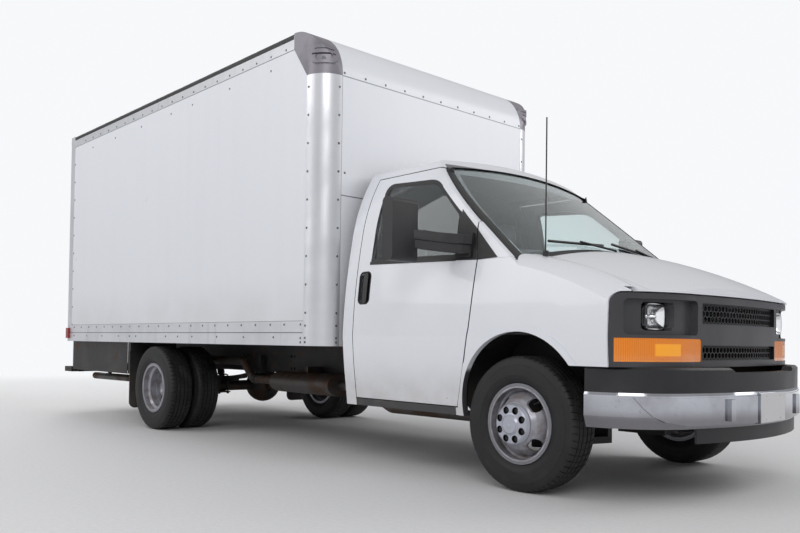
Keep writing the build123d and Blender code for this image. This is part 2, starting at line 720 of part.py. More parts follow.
def door_hinge_arm(z):
    """An arm that hooks round the fender's edge, from the pin's eye to the door's inner face."""
    inner = cab_half_width(z) - door_thickness + 5
    path = [(hinge_x, hinge_y), (hinge_x - 25, hinge_y - 74), (hinge_x - 100, hinge_y - 74),
            (hinge_x - 110, inner)]
    strap = extrude(trace(Polyline(*path), line_width=12), hinge_eye_height)
    eye = Pos(hinge_x, hinge_y, hinge_eye_height / 2) * Cylinder(hinge_eye_radius, hinge_eye_height)
    bore = Pos(hinge_x, hinge_y, hinge_eye_height / 2) * Cylinder(hinge_pin_radius + hinge_clearance,
                                                                  2 * hinge_eye_height)
    return Pos(0, 0, z - hinge_eye_height / 2) * (strap + eye - bore)


def door_hinge_base(z):
    """The pin and its two plates, on the pillar's rear face."""
    half = hinge_eye_height / 2 + 0.3
    base = Pos(hinge_x, hinge_y, z) * Cylinder(hinge_pin_radius, 2 * (half + hinge_plate))
    for low in (z - half - hinge_plate, z + half):
        outline = [(hinge_x - 8, hinge_y + 8), (hinge_x + 8, hinge_y + 8), (hinge_x + 25, hinge_y - 30),
                   (hinge_x + 25, hinge_y - 60), (hinge_x - 8, hinge_y - 8)]
        base += plan_prism(outline, low, low + hinge_plate)
    return base


def handle_room(side, size, depth, corner):
    """A pocket of a given depth in the door's skin, behind the window's lower corner."""
    width, height = size
    outline = Plane.XZ * (Pos(*handle_centre) * RectangleRounded(width, height, corner))
    prism = Pos(0, 1200, 0) * extrude(outline, 400)
    pocket = prism & (cab_tube(-5) - cab_tube(depth))
    return pocket if side > 0 else mirror(pocket, about=Plane.XZ)


def handle_paddle(side):
    """The upright pull handle, across the middle of its pocket."""
    pull = handle_room(1, (44, handle_size[1] - 8), handle_depth + 2, 16) & cab_tube(3)
    pull -= handle_room(1, (handle_size[0], handle_size[1] - 80), handle_depth, 16) & cab_tube(11)
    return pull if side > 0 else mirror(pull, about=Plane.XZ)


hinge_room = []
for z in hinge_heights:
    reach = hinge_eye_height / 2 + hinge_plate + 5
    hinge_room.append(block(hinge_x - 120, hinge_x + 30, hinge_y - 75, hinge_y + hinge_eye_radius + 2,
                            z - reach, z + reach))

glass_skin = side_skin(10, glass_thickness)
hemmed_outline = [(x - hem_step, z) if (x, z) in door_front else (x, z) for x, z in door_outline]
for side, tag in ((1, "left"), (-1, "right")):
    cut = side_cut(door_outline, side)
    window = side_cut(window_outline, side)
    door = (door_skin & cut) + (door_body & side_cut(hemmed_outline, side)) + (high_door & cut) - window
    door = door - handle_room(side, handle_size, handle_depth, 34) + handle_paddle(side)
    for z in hinge_heights:
        arm_piece = door_hinge_arm(z)
        door += arm_piece if side > 0 else mirror(arm_piece, about=Plane.XZ)
    save(f"door_{tag}", door)
    save(f"door_glass_{tag}", glass_skin & window)

# Windshield on its pillars, the roof with its header, and the back wall
glass = windshield_drum(0) - windshield_drum(glass_thickness)
glass &= cab_tube(frame_thickness + door_gap) & (Pos(0, 0, -60) * cab_tube(0))
glass &= block(-1400, 400, -1000, 1000, 1200, 2100)
glass -= hood_drum(14)
save("windshield", glass)

roof_shell = greenhouse(0) - greenhouse(skin)
cab_roof = roof_shell & block(cab_back, 0, -1000, 1000, roof_seam_z + door_gap, 2100)
header = roof_shell & block(-1000, -500, -header_half, header_half, header_bottom, roof_seam_z + door_gap)
glass_slot = (windshield_drum(-1) - windshield_drum(glass_thickness + 1)) & (Pos(0, 0, -58) * cab_tube(0))
save("cab_roof", cab_roof + header - glass_slot)
save("cab_back_wall", cab_tube(skin, cab_back, cab_back + 25)
     & block(cab_back, 0, -1000, 1000, cab_floor_top, 2100))

# Side frames: the strip behind each door, the pillar under the windshield's edge, and its foot ahead of the door
strip = side_skin(0, skin) & block(cab_back, door_rear - door_gap, 600, 1100, cab_underside,
                                   roof_seam_z + door_gap)
strip -= block(cab_back, door_rear, 500, 900, 0, 1000)
pillar = cab_tube(frame_thickness + door_gap) - cab_tube(100)
pillar &= windshield_drum(glass_thickness + 1) - windshield_drum(60)
pillar &= block(-1000, 0, 500, 1100, belt_z + 20, roof_seam_z + door_gap)
pillar -= block(-1000, -500, 0, header_half, header_bottom, 2100)
foot = side_skin(0, skin) & windshield_drum(0) & block(-400, 100, 800, 1100, belt_z, 1700)
foot -= side_cut(door_outline, 1, front_door_gap)
post = block(hinge_x + 20, hinge_x + 65, 885, 945, post_bottom, belt_z + 8) & cab_tube(skin + 0.3)
for z in hinge_heights:
    post += door_hinge_base(z)
frames = []
for piece in (strip, pillar + foot + post):
    frames += both(piece)
save("cab_side_frames", frames)

# Floor, firewall, engine cover and rockers
floor_under = cab_floor_top - 40
floor_back = cab_back + 25
cab_floor = block(floor_back, firewall_front, -875, 875, floor_under, cab_floor_top)
cab_floor += block(-480, firewall_front, -875, 875, cab_floor_top, 1250)
cab_floor += block(-1050, -480, -300, 300, cab_floor_top, cover_top)
cab_floor -= block(-1030, -400, -280, 280, 0, cover_top - 20)
rocker = cab_tube(0) & block(door_rear - door_gap, rocker_front, 875, 1000, cab_underside,
                             door_bottom - door_gap)
rocker += block(floor_back, rocker_front, 850, 875, cab_underside, floor_under)
cab_floor += rocker
cab_floor += mirror(rocker, about=Plane.XZ)
save("cab_floor", cab_floor)

# Hood, fenders with their wheel arches, the cowl, and the arch liners
seam_ahead = [(x, y + hood_gap) for x, y in hood_seam]


def hood_field(seam):
    return plan_prism(seam + [(x, -y) for x, y in reversed(seam)], 1000, 1600)


def on_glass(y, rise, lift):
    """A point above the windshield: y across, rise up the slope from the crown point, lift off the glass."""
    a = math.radians(windshield_angle)
    drop = windshield_radius - math.sqrt((windshield_radius + lift) ** 2 - y ** 2)
    return (windshield_crown[0] - rise * math.cos(a) - drop * math.sin(a), y,
            windshield_crown[1] + rise * math.sin(a) - drop * math.cos(a))


hood = front_shell & hood_field(hood_seam) & block(-400, 900, -1000, 1000, hood_bottom, 1600)
hood -= windshield_drum(-cowl_width - hood_gap)
for s in (1, -1):
    y0 = s * hood_hinge_y - hood_arm_width / 2
    arm_outline = [(hood_pivot[0], hood_pivot[1] + 7), (hood_pivot[0], hood_pivot[1] - 7), (165, 1280),
                   (165, 1312)]
    strap = side_prism(arm_outline, y0, y0 + hood_arm_width)
    strap += rod((hood_pivot[0], y0, hood_pivot[1]), (hood_pivot[0], y0 + hood_arm_width, hood_pivot[1]), 9)
    pin_hole = rod((hood_pivot[0], y0 - 5, hood_pivot[1]),
                   (hood_pivot[0], y0 + hood_arm_width + 5, hood_pivot[1]),
                   hood_pin_radius + hinge_clearance)
    hood += strap - pin_hole
save("hood", hood)


def arch_cylinder(radius):
    return Pos(arch_centre[0], 0, arch_centre[1]) * Rot(90, 0, 0) * Cylinder(radius, 3000)


def bezel_room(back, top):
    """The space that the front moulding takes, seen from the side, with its rear upper corner rounded."""
    room = block(back, 1000, -1100, 1100, 0, top)
    corner = room.edges().filter_by(Axis.Y).group_by(Axis.Z)[-1].sort_by(Axis.X)[0]
    return fillet(corner, bezel_corner)


arch = arch_cylinder(arch_radius)
lip = (cab_tube(-arch_lip_proud) - cab_tube(4)) & (arch_cylinder(arch_radius + arch_lip) - arch)
lip &= block(rocker_front, fender_front - 60, 900, 1100, cab_underside, 1000)
fender = (cab_shell & block(rocker_front, 900, 600, 1100, cab_underside, 1500)) + lip
fender -= windshield_drum(-2) & block(-500, 400, 0, 1100, belt_z - 1, 1600)
fender -= hood_field(seam_ahead)
fender -= side_cut(door_outline, 1, front_door_gap)
fender -= arch
fender -= block(arch_centre[0], 900, 0, 1100, 0, grille_bottom)
fender -= bezel_room(fender_front, hood_bottom)
fender -= block(-500, 900, 0, 905, 0, 1100)
for room in hinge_room:
    fender -= room
fender -= windshield_drum(-2) & block(-500, 400, 0, 940, 1100, 1400)
save("front_fenders", both(fender))

cowl = (hood_drum(14) - hood_drum(26)) & (windshield_drum(-cowl_width)
                                          - windshield_drum(glass_thickness + 1))
cowl &= hood_field(hood_seam)
for s in (1, -1):
    middle = s * hood_hinge_y
    slot_half = hood_arm_width / 2 + 5
    cowl -= block(hood_pivot[0] - 14, 300, middle - slot_half, middle + slot_half, 1200, 1500)
    pin_end = slot_half + 5
    cowl += rod((hood_pivot[0], middle - pin_end, hood_pivot[1]),
                (hood_pivot[0], middle + pin_end, hood_pivot[1]), hood_pin_radius)
    for y in (middle - slot_half - 6, middle + slot_half):
        cowl += block(hood_pivot[0] - 12, hood_pivot[0] + 12, y, y + 6, hood_pivot[1] - 10,
                      hood_pivot[1] + 12)
for i in range(-5, 6):
    y = i * cowl_slot_pitch
    if abs(y - wiper_table[0][0]) > 45:
        spot = on_glass(y, -30, 0)
        cowl -= Pos(*spot) * Box(18, 52, 80)
save("cowl", cowl)

liner_rear = [(firewall_front, 440), (firewall_front, 640), (-390, 780), (-382, 774),
              (firewall_front + 10, 636), (firewall_front + 10, 440)]
liner_top = [(-390, 780), (-260, 870), (-257, 860), (-382, 774)]
liner_front = [(-260, 870), (290, 870), (440, 780), (440, 730), (430, 730), (430, 774), (287, 860),
               (-257, 860)]
liner_wall = [(firewall_front, 600), (firewall_front, 640), (-390, 780), (-260, 870), (290, 870),
              (440, 780), (440, 600)]
liner = side_prism(liner_wall, 520, 530)
for outline, outer in ((liner_rear, 875), (liner_top, 920), (liner_front, 950)):
    liner += side_prism(outline, 530, outer)
save("wheel_liners", both(liner))

# Front moulding between the fenders: a rounded frame with a deep recess for each headlamp, a place for each turn
# lamp, and two rows of honeycomb
def lamp_prism(side, grow, x0, x1):
    """The headlamp's rounded outline, grown by a clearance or a wall, as a prism along X."""
    outline = RectangleRounded(2 * (lamp_half_width + grow), 2 * (lamp_half_height + grow), 22 + grow)
    return Pos(x0, side * lamp_y, lamp_z) * extrude(Plane.YZ * outline, x1 - x0)


def rounded_bar(y0, y1, z0, z1, corner):
    """A bar along X with rounded edges, to cut openings in the front."""
    face = Plane.YZ * RectangleRounded(abs(y1 - y0), z1 - z0, corner)
    return Pos(550, (y0 + y1) / 2, (z0 + z1) / 2) * extrude(face, 400)


def honeycomb(low, high):
    """Hexagonal cells over one row of the mesh, as prisms along X."""
    row_pitch = mesh_pitch * math.sqrt(3) / 2
    rows = math.ceil((high - low) / row_pitch) + 1
    columns = math.ceil(mesh_half / mesh_pitch)
    middle = (low + high) / 2
    cell = RegularPolygon((mesh_pitch - mesh_bar) / 2, 6, major_radius=False, rotation=30)
    cells = []
    for j in range(rows):
        z = middle + (j - (rows - 1) / 2) * row_pitch
        for i in range(-columns, columns + 1):
            y = (i + (j % 2) / 2) * mesh_pitch
            cells.append(Pos(y, z) * cell)
    return Pos(700, 0, 0) * extrude(Plane.YZ * (Sketch() + cells), 200)


grille_top = hood_bottom - hood_gap
grille = (front_end(10) - front_end(60)) & bezel_room(fender_front + 1, grille_top)
grille &= block(fender_front, 1000, -1100, 1100, grille_bottom, grille_top + 1)
headlamps = []
turn_lamps = []
lamp_front = 700
crown_radius = 420
for s in (1, -1):
    recess = rounded_bar(s * recess_y[0], s * recess_y[1], *recess_z, 25)
    grille -= (front_end(0) - front_end(10 + recess_depth)) & recess
    socket = lamp_prism(s, lamp_wall, 645, 900) & front_end(10 + recess_depth)
    grille = grille + socket - lamp_prism(s, lamp_fit, 655, 900)
    crown = Pos(lamp_front - crown_radius, s * lamp_y, lamp_z) * Sphere(crown_radius)
    headlamps.append(lamp_prism(s, 0, 655, lamp_front + 2) & crown)
    turn_zone = rounded_bar(s * turn_inner_y, s * 1020, *turn_z, 14)
    turn_zone &= block(fender_front + 20, 950, -1100, 1100, 0, 1000)
    grille -= turn_zone
    turn_lamps.append((front_end(12) - front_end(50)) & turn_zone)
for low, high in mesh_rows:
    opening = rounded_bar(-mesh_half, mesh_half, low, high, 12)
    mesh = front_end(mesh_inset) - front_end(mesh_inset + mesh_thickness)
    mesh &= rounded_bar(-mesh_half - 2, mesh_half + 2, low - 2, high + 2, 12)
    mesh -= honeycomb(low, high) & rounded_bar(-mesh_half + 4, mesh_half - 4, low + 4, high - 4, 8)
    grille = grille - opening + mesh
save("grille", grille)
save("headlamps", headlamps)
save("turn_lamps", turn_lamps)


# Front bumper: chrome face bar with its middle pressed forward, black pad on top and the valance below
def bumper_plan(inset):
    end, bend = (430, 985 - inset), (700 - inset * 0.7, 880 - inset * 0.7)
    front, centre = (860 - inset, 640), (front_overhang - 5 - inset, 0)
    right = [Line((300, end[1]), end), ThreePointArc(end, bend, front)]
    left = [mirror(e, about=Plane.XZ) for e in right]
    return make_face(right + [ThreePointArc(front, centre, (front[0], -front[1])),
                              Line((300, end[1]), (300, -end[1]))] + left)


def bumper_bar(z0, z1, out, depth):
    bar = Pos(0, 0, z0) * extrude(bumper_plan(out) - bumper_plan(out + depth), z1 - z0)
    return bar - block(200, 445, -1100, 1100, z0 - 1, z1 + 1)


bar_z = (395, 455, 560, 574)  # lower edge, end of the tuck, start of the top bevel, top edge
press_bottom = 412
press_half = [(905, 560), (872, 500), (838, 458), (790, 432), (690, 414), (600, 405)]  # y, z of one side
bar_tuck = 22
bar_bevel = 6
tuck_angle = math.degrees(math.atan2(bar_tuck, bar_z[1] - bar_z[0]))


def bevelled_slab(face, top, depth, reach):
    """The top slab of a bar, whose sides spread downward by reach until they meet the bar's outline."""
    upper = Pos(0, 0, top) * offset(face, -reach, kind=Kind.INTERSECTION)
    return extrude(upper, depth, dir=(0, 0, -1), taper=-math.degrees(math.atan2(reach, depth)))


chrome = extrude(Pos(0, 0, bar_z[1]) * bumper_plan(0), bar_z[2] - bar_z[1])
chrome += extrude(Pos(0, 0, bar_z[1]) * bumper_plan(0), bar_z[1] - bar_z[0], dir=(0, 0, -1),
                  taper=tuck_angle)
chrome += bevelled_slab(bumper_plan(0), bar_z[3], bar_z[3] - bar_z[2], bar_bevel)
pressing = extrude(bumper_plan(-4) - bumper_plan(20), bar_z[2] - 8 - press_bottom)
pressing = Pos(0, 0, press_bottom) * pressing
pressing &= cross_prism(press_half + [(-y, z) for y, z in reversed(press_half)], 500, 1000)
chrome += pressing
chrome -= Pos(0, 0, bar_z[0] - 1) * extrude(bumper_plan(30), 200)
chrome -= block(200, 445, -1100, 1100, bar_z[0] - 1, bar_z[3] + 1)
for s in (1, -1):
    chrome += block(rail_front, 950, s * (rail_y - 30) - 25, s * (rail_y - 30) + 25, 430, 540)
chrome += block(940, front_overhang, -160, 160, 405, 565)
for y in (-plate_hole_pitch[0] / 2, plate_hole_pitch[0] / 2):
    for z in (485 - plate_hole_pitch[1] / 2, 485 + plate_hole_pitch[1] / 2):
        chrome -= rod((930, y, z), (front_overhang + 10, y, z), plate_hole_radius)
save("front_bumper", chrome)

pad_low, pad_high = bar_z[3], 700
pad_step = 26
pad_bevel = 12
pad = bumper_bar(pad_low, pad_high - pad_bevel, 5, 60)
pad_top = bevelled_slab(bumper_plan(5), pad_high, pad_bevel, pad_bevel)
pad_top -= Pos(0, 0, pad_high - pad_bevel - 1) * extrude(bumper_plan(65), pad_bevel + 2)
pad += pad_top - block(200, 445, -1100, 1100, 0, pad_high + 1)
pad -= cross_prism([(-390, pad_high + 1), (-350, pad_high - pad_step), (350, pad_high - pad_step),
                    (390, pad_high + 1)], 700, 1000)
save("bumper_pad", pad)
save("front_valance", bumper_bar(320, 395, 22, 12) & block(700, 1000, -600, 600, 300, 400))

# Interior: seats, dashboard and steering wheel
seats = []
for s in (1, -1):
    base = block(-1250, -900, s * seat_y - 150, s * seat_y + 150, cab_floor_top, 830)
    cushion = block(-1330, -820, s * seat_y - 205, s * seat_y + 205, 830, 940)
    back = side_prism([(-1330, 940), (-1210, 940), (-1300, 1600), (-1400, 1600)], s * seat_y - 200,
                      s * seat_y + 200)
    head = block(-1420, -1320, s * seat_y - 120, s * seat_y + 120, 1600, 1780)
    seats.append(base + cushion + back + head)
save("seats", seats)
dash_outline = [(-640, 1080), (-650, 1230), (-560, 1300), (-300, 1335), (-60, 1345), (-60, 1320),
                (-452, 1250), (-480, 1250), (-480, 1000), (-600, 1010)]
dash = side_prism(dash_outline, -870, 870) & windshield_drum(8) & cab_tube(101)
save("dashboard", dash)
wheel_centre = (-770, seat_y, 1200)
wheel_plane = Plane(origin=wheel_centre, z_dir=(-0.88, 0, 0.47))
steering = wheel_plane * Torus(190, 15)
steering += extrude(wheel_plane * Circle(50), 12, both=True)
steering += extrude(wheel_plane * Rectangle(40, 380), 8, both=True)
column = rod(wheel_centre, (wheel_centre[0] + 160 * 0.88, seat_y, wheel_centre[2] - 160 * 0.47), 28)
save("steering_wheel", steering + column - dash)

# Mirrors on arms, wipers and aerial
for s, tag in ((1, "left"), (-1, "right")):
    head = block(-710, -620, *sorted((s * 1140, s * 1340)), 1280, 1650)
    head = fillet(head.edges().filter_by(Axis.Y), 30)
    for low, high in ((1294, 1390), (1400, 1636)):
        head -= block(-711, -706, *sorted((s * 1154, s * 1326)), low, high)
    foot = side_skin(-18, 17.7) & side_cut(mirror_foot, s)
    arms = rod((-420, s * 945, 1350), (-665, s * 1180, 1390), 16)
    arms += rod((-420, s * 935, 1420), (-665, s * 1180, 1460), 16)
    arms -= cab_tube(-5)
    save(f"mirror_{tag}", head + arms + foot)

wipers = []
for pivot_y, tip_y in wiper_table:
    pivot = on_glass(pivot_y, -58, 0)
    top = (pivot[0], pivot_y, pivot[2] + 32)
    blade = rod(on_glass(pivot_y - 60, 25, 16), on_glass(tip_y, 60, 16), 8)
    link = rod(top, on_glass((pivot_y + tip_y) / 2, 44, 20), 7)
    wipers.append(blade + rod(pivot, top, 8) + link - hood_drum(14))
save("wipers", wipers)
aerial = rod((72, -820, 1260), (72, -820, 2067), 4) + rod((72, -820, 1260), (72, -820, 1325), 16)
save("antenna", aerial - front_end(0))
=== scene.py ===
import math

import bmesh
import bpy
from mathutils import Matrix, Vector


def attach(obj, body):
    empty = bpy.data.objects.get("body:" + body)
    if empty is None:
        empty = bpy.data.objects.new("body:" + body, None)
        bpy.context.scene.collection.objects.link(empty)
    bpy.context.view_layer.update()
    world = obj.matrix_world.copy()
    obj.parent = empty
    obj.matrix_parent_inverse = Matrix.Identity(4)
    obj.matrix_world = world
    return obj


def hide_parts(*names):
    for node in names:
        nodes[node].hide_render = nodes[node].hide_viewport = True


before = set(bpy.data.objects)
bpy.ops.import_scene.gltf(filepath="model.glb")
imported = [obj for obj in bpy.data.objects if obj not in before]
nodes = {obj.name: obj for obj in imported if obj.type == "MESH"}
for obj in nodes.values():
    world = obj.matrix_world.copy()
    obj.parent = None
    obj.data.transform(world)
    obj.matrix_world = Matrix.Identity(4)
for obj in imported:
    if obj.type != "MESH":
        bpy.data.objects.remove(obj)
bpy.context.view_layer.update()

# Camera: a 36 mm lens at hip height off the truck's right front corner, held almost level, with the frame
# shifted up and to the side as the photograph was cropped.
heading, tilt, roll = 2.3867, 0.0213, 0.0133
level = math.cos(tilt)
ahead = Vector((math.cos(heading) * level, math.sin(heading) * level, math.sin(tilt)))
right = ahead.cross(Vector((0, 0, 1))).normalized()
up = right.cross(ahead)
right, up = right * math.cos(roll) + up * math.sin(roll), up * math.cos(roll) - right * math.sin(roll)
lens = bpy.data.cameras.new("camera")
lens.lens = 36.0
lens.sensor_width = 36.0
frame_width = 800
lens.shift_x = -14.67 / frame_width
lens.shift_y = 58.72 / frame_width
lens.clip_end = 200
camera = bpy.data.objects.new("camera", lens)
aim = Matrix((right, up, -ahead)).transposed().to_4x4()
camera.matrix_world = Matrix.Translation((5.484, -4.367, 0.809)) @ aim
bpy.context.scene.collection.objects.link(camera)
bpy.context.scene.camera = camera
bpy.context.scene.view_settings.view_transform = "Standard"


# Studio floor: a pale poured floor that keeps the truck's shadow and fades into the white backdrop. Finishes
# are written as sums: a signal is one socket, and Python's operators add the nodes that work the sum out.
class Signal:
    def __init__(self, finish, socket):
        self.finish, self.socket = finish, socket

    def work(self, operation, *others):
        inputs = {i: value for i, value in enumerate((self,) + others)}
        return self.finish.node("ShaderNodeMath", {"operation": operation}, inputs)

    def __add__(self, other):
        return self.work("ADD", other)

    def __sub__(self, other):
        return self.work("SUBTRACT", other)

    def __rsub__(self, other):
        return self.finish.node("ShaderNodeMath", {"operation": "SUBTRACT"}, {0: other, 1: self})

    def __mul__(self, other):
        return self.work("MULTIPLY", other)

    def __abs__(self):
        return self.work("ABSOLUTE")

    __radd__, __rmul__ = __add__, __mul__

    def above(self, floor):
        return self.work("MAXIMUM", floor)

    def root(self):
        return self.work("SQRT")


class Nodes:
    """Shader nodes of a material or the world. Each comes from node(): its settings, then its inputs."""

    def __init__(self, tree):
        self.tree = tree

    def feed(self, socket, value):
        if isinstance(value, Signal):
            self.tree.links.new(value.socket, socket)
        elif hasattr(value, "__len__") and socket.type == "RGBA":
            socket.default_value = (*value[:3], 1.0)
        else:
            socket.default_value = value

    def node(self, kind, settings, inputs, out=0):
        made = self.tree.nodes.new(kind)
        for key, value in settings.items():
            if key == "stops":
                ramp = made.color_ramp.elements
                while len(ramp) < len(value):
                    ramp.new(1.0)
                for stop, (place, colour) in zip(ramp, value):
                    stop.position = place
                    stop.color = (*colour, 1.0)
            else:
                setattr(made, key, value)
        for key, value in inputs.items():
            self.feed(made.inputs[key], value)
        return Signal(self, made.outputs[out])

    def ramp(self, signal, *stops):
        return self.node("ShaderNodeValToRGB", {"stops": stops}, {0: signal})

    def mask(self, signal, low, high):
        """0 at low and 1 at high, with a smooth step between them."""
        inputs = {"Value": signal, 1: low, 2: high, 3: 0.0, 4: 1.0}
        return self.node("ShaderNodeMapRange", {"interpolation_type": "SMOOTHSTEP"}, inputs)

    def blend(self, amount, first, second):
        return self.node("ShaderNodeMix", {"data_type": "RGBA"}, {0: amount, 6: first, 7: second}, out=2)


class Finish(Nodes):
    """A material and its shader. Places are metres in the truck's frame, and stay on a piece that turns."""

    def __init__(self, name):
        self.material = bpy.data.materials.new(name)
        self.material.use_nodes = True
        super().__init__(self.material.node_tree)
        self.shader = self.tree.nodes["Principled BSDF"]

    def place(self, out="Object"):
        return self.node("ShaderNodeTexCoord", {}, {}, out=out)

    def axis(self, letter, of="Object"):
        return self.node("ShaderNodeSeparateXYZ", {}, {0: self.place(of)}, out=letter)

    def fade(self, letter, start, end):
        """0 at start and 1 at end, along one axis of the truck."""
        return self.mask(self.axis(letter), start, end)

    def stretched(self, x, y, z):
        return self.node("ShaderNodeVectorMath", {"operation": "MULTIPLY"}, {0: self.place(), 1: (x, y, z)})

    def noise(self, scale, detail, vector=None):
        inputs = {"Vector": vector or self.place(), "Scale": scale, "Detail": detail}
        return self.node("ShaderNodeTexNoise", {}, inputs)

    def patches(self, scale, detail, low, high):
        """Soft-edged patches: a noise that counts from low and is full at high."""
        return self.mask(self.noise(scale, detail), low, high)

    def waves(self, direction, scale, distortion=0.0):
        inputs = {"Vector": self.place(), "Scale": scale, "Distortion": distortion}
        return self.node("ShaderNodeTexWave", {"bands_direction": direction}, inputs)

    def tone(self, amount, first, second, **others):
        """Colours the surface from first to second by an amount, and sets what else is given."""
        self.set(base_color=self.blend(amount, first, second), **others)

    def bump(self, height, distance, strength):
        inputs = {"Strength": strength, "Distance": distance, "Height": height}
        self.feed(self.shader.inputs["Normal"], self.node("ShaderNodeBump", {}, inputs))

    def grain(self, scale, detail, distance, strength):
        """A fine roughness that the light picks out."""
        self.bump(self.noise(scale, detail), distance, strength)

    def set(self, **values):
        for key, value in values.items():
            self.feed(self.shader.inputs[key.replace("_", " ").title().replace("Ior", "IOR")], value)


backdrop_white = (0.93, 0.94, 0.96)
poured = Finish("studio_floor")
far = poured.node("ShaderNodeVectorMath", {"operation": "LENGTH"}, {0: poured.place()}, out=1)
screed = poured.ramp(poured.noise(40.0, 3.0), (0.3, (0.70, 0.70, 0.71)), (0.7, (0.74, 0.74, 0.75)))
poured.set(base_color=screed, roughness=0.7)
glow = poured.node("ShaderNodeEmission", {}, {"Color": backdrop_white, "Strength": 1.0})
lit = Signal(poured, poured.shader.outputs[0])
faded = poured.node("ShaderNodeMixShader", {}, {0: poured.mask(far, 5.0, 13.0), 1: lit, 2: glow})
poured.feed(poured.tree.nodes["Material Output"].inputs[0], faded)
floor_reach = 60.0
floor_mesh = bpy.data.meshes.new("studio_floor")
floor_corners = [(x * floor_reach, y * floor_reach, 0) for x, y in ((-1, -1), (1, -1), (1, 1), (-1, 1))]
floor_mesh.from_pydata(floor_corners, [], [(0, 1, 2, 3)])
floor_mesh.materials.append(poured.material)
ground = bpy.data.objects.new("studio_floor", floor_mesh)
bpy.context.scene.collection.objects.link(ground)

# Studio light: a white room, a little darker towards the floor, and four large soft boxes that all aim at the
# truck. The camera sees the backdrop's plain white in place of the room.
world = bpy.data.worlds.new("studio")
bpy.context.scene.world = world
world.use_nodes = True
room = Nodes(world.node_tree)
direction = room.node("ShaderNodeTexCoord", {}, {}, out="Generated")
height = room.node("ShaderNodeSeparateXYZ", {}, {0: direction}, out="Z")
walls = room.ramp(height, (0.0, (0.60, 0.62, 0.68)), (0.35, (1.0, 1.0, 1.0)))
ambient = room.node("ShaderNodeBackground", {}, {"Color": walls, "Strength": 0.50})
backdrop = room.node("ShaderNodeBackground", {}, {"Color": backdrop_white, "Strength": 1.0})
seen = room.node("ShaderNodeLightPath", {}, {}, out="Is Camera Ray")
seen = seen.above(room.node("ShaderNodeLightPath", {}, {}, out="Is Transmission Ray"))
choice = room.node("ShaderNodeMixShader", {}, {0: seen, 1: ambient, 2: backdrop})
room.feed(room.tree.nodes["World Output"].inputs[0], choice)
truck_middle = Vector((0.0, 0.0, 1.2))
soft_boxes = [  # name, place, width, power
    ("lamp_front", (8.0, -7.0, 6.5), 5.0, 260), ("lamp_side", (-3.5, -8.0, 5.5), 6.0, 200),
    ("lamp_far", (7.0, 7.5, 6.0), 5.0, 260), ("lamp_rear", (-9.0, 1.0, 6.0), 5.0, 240),
]
for name, place, width, power in soft_boxes:
    lamp = bpy.data.lights.new(name, "AREA")
    lamp.size = width
    lamp.energy = power
    holder = bpy.data.objects.new(name, lamp)
    holder.location = place
    holder.rotation_euler = (truck_middle - Vector(place)).to_track_quat("-Z", "Y").to_euler()
    bpy.context.scene.collection.objects.link(holder)

# Ladder frame and sills: pressed steel channels with bolted crossmembers under a coat of black chassis paint,
# rusting where stones have chipped it and dusted with dried mud. The bolt heads sit on the rails' webs.
front_axle = 2.690
rear_axle = front_axle - 4.039
hub_height = 0.3715
chassis = Finish("chassis_black")
rust = chassis.patches(9.0, 8.0, 0.54, 0.68)
mud = chassis.patches(3.0, 6.0, 0.45, 0.75)
chassis_colour = chassis.blend(rust, (0.013, 0.013, 0.014), (0.060, 0.030, 0.017))
chassis.tone(mud * 0.35, chassis_colour, (0.075, 0.066, 0.058), roughness=rust * 0.2 + 0.52)
chassis.bump(rust, 0.0008, 0.5)


def at(x, y, z):
    """A place whose length along the truck is measured ahead of the front axle."""
    return (front_axle + x, y, z)


def dress(finish, *names):
    """Gives CAD nodes their finish."""
    for name in names:
        for place in nodes[name].material_slots:
            place.material = finish.material


def circle(sides):
    """The cosine and sine at each step round a full turn."""
    return [(math.cos(i / sides * math.tau), math.sin(i / sides * math.tau)) for i in range(sides)]


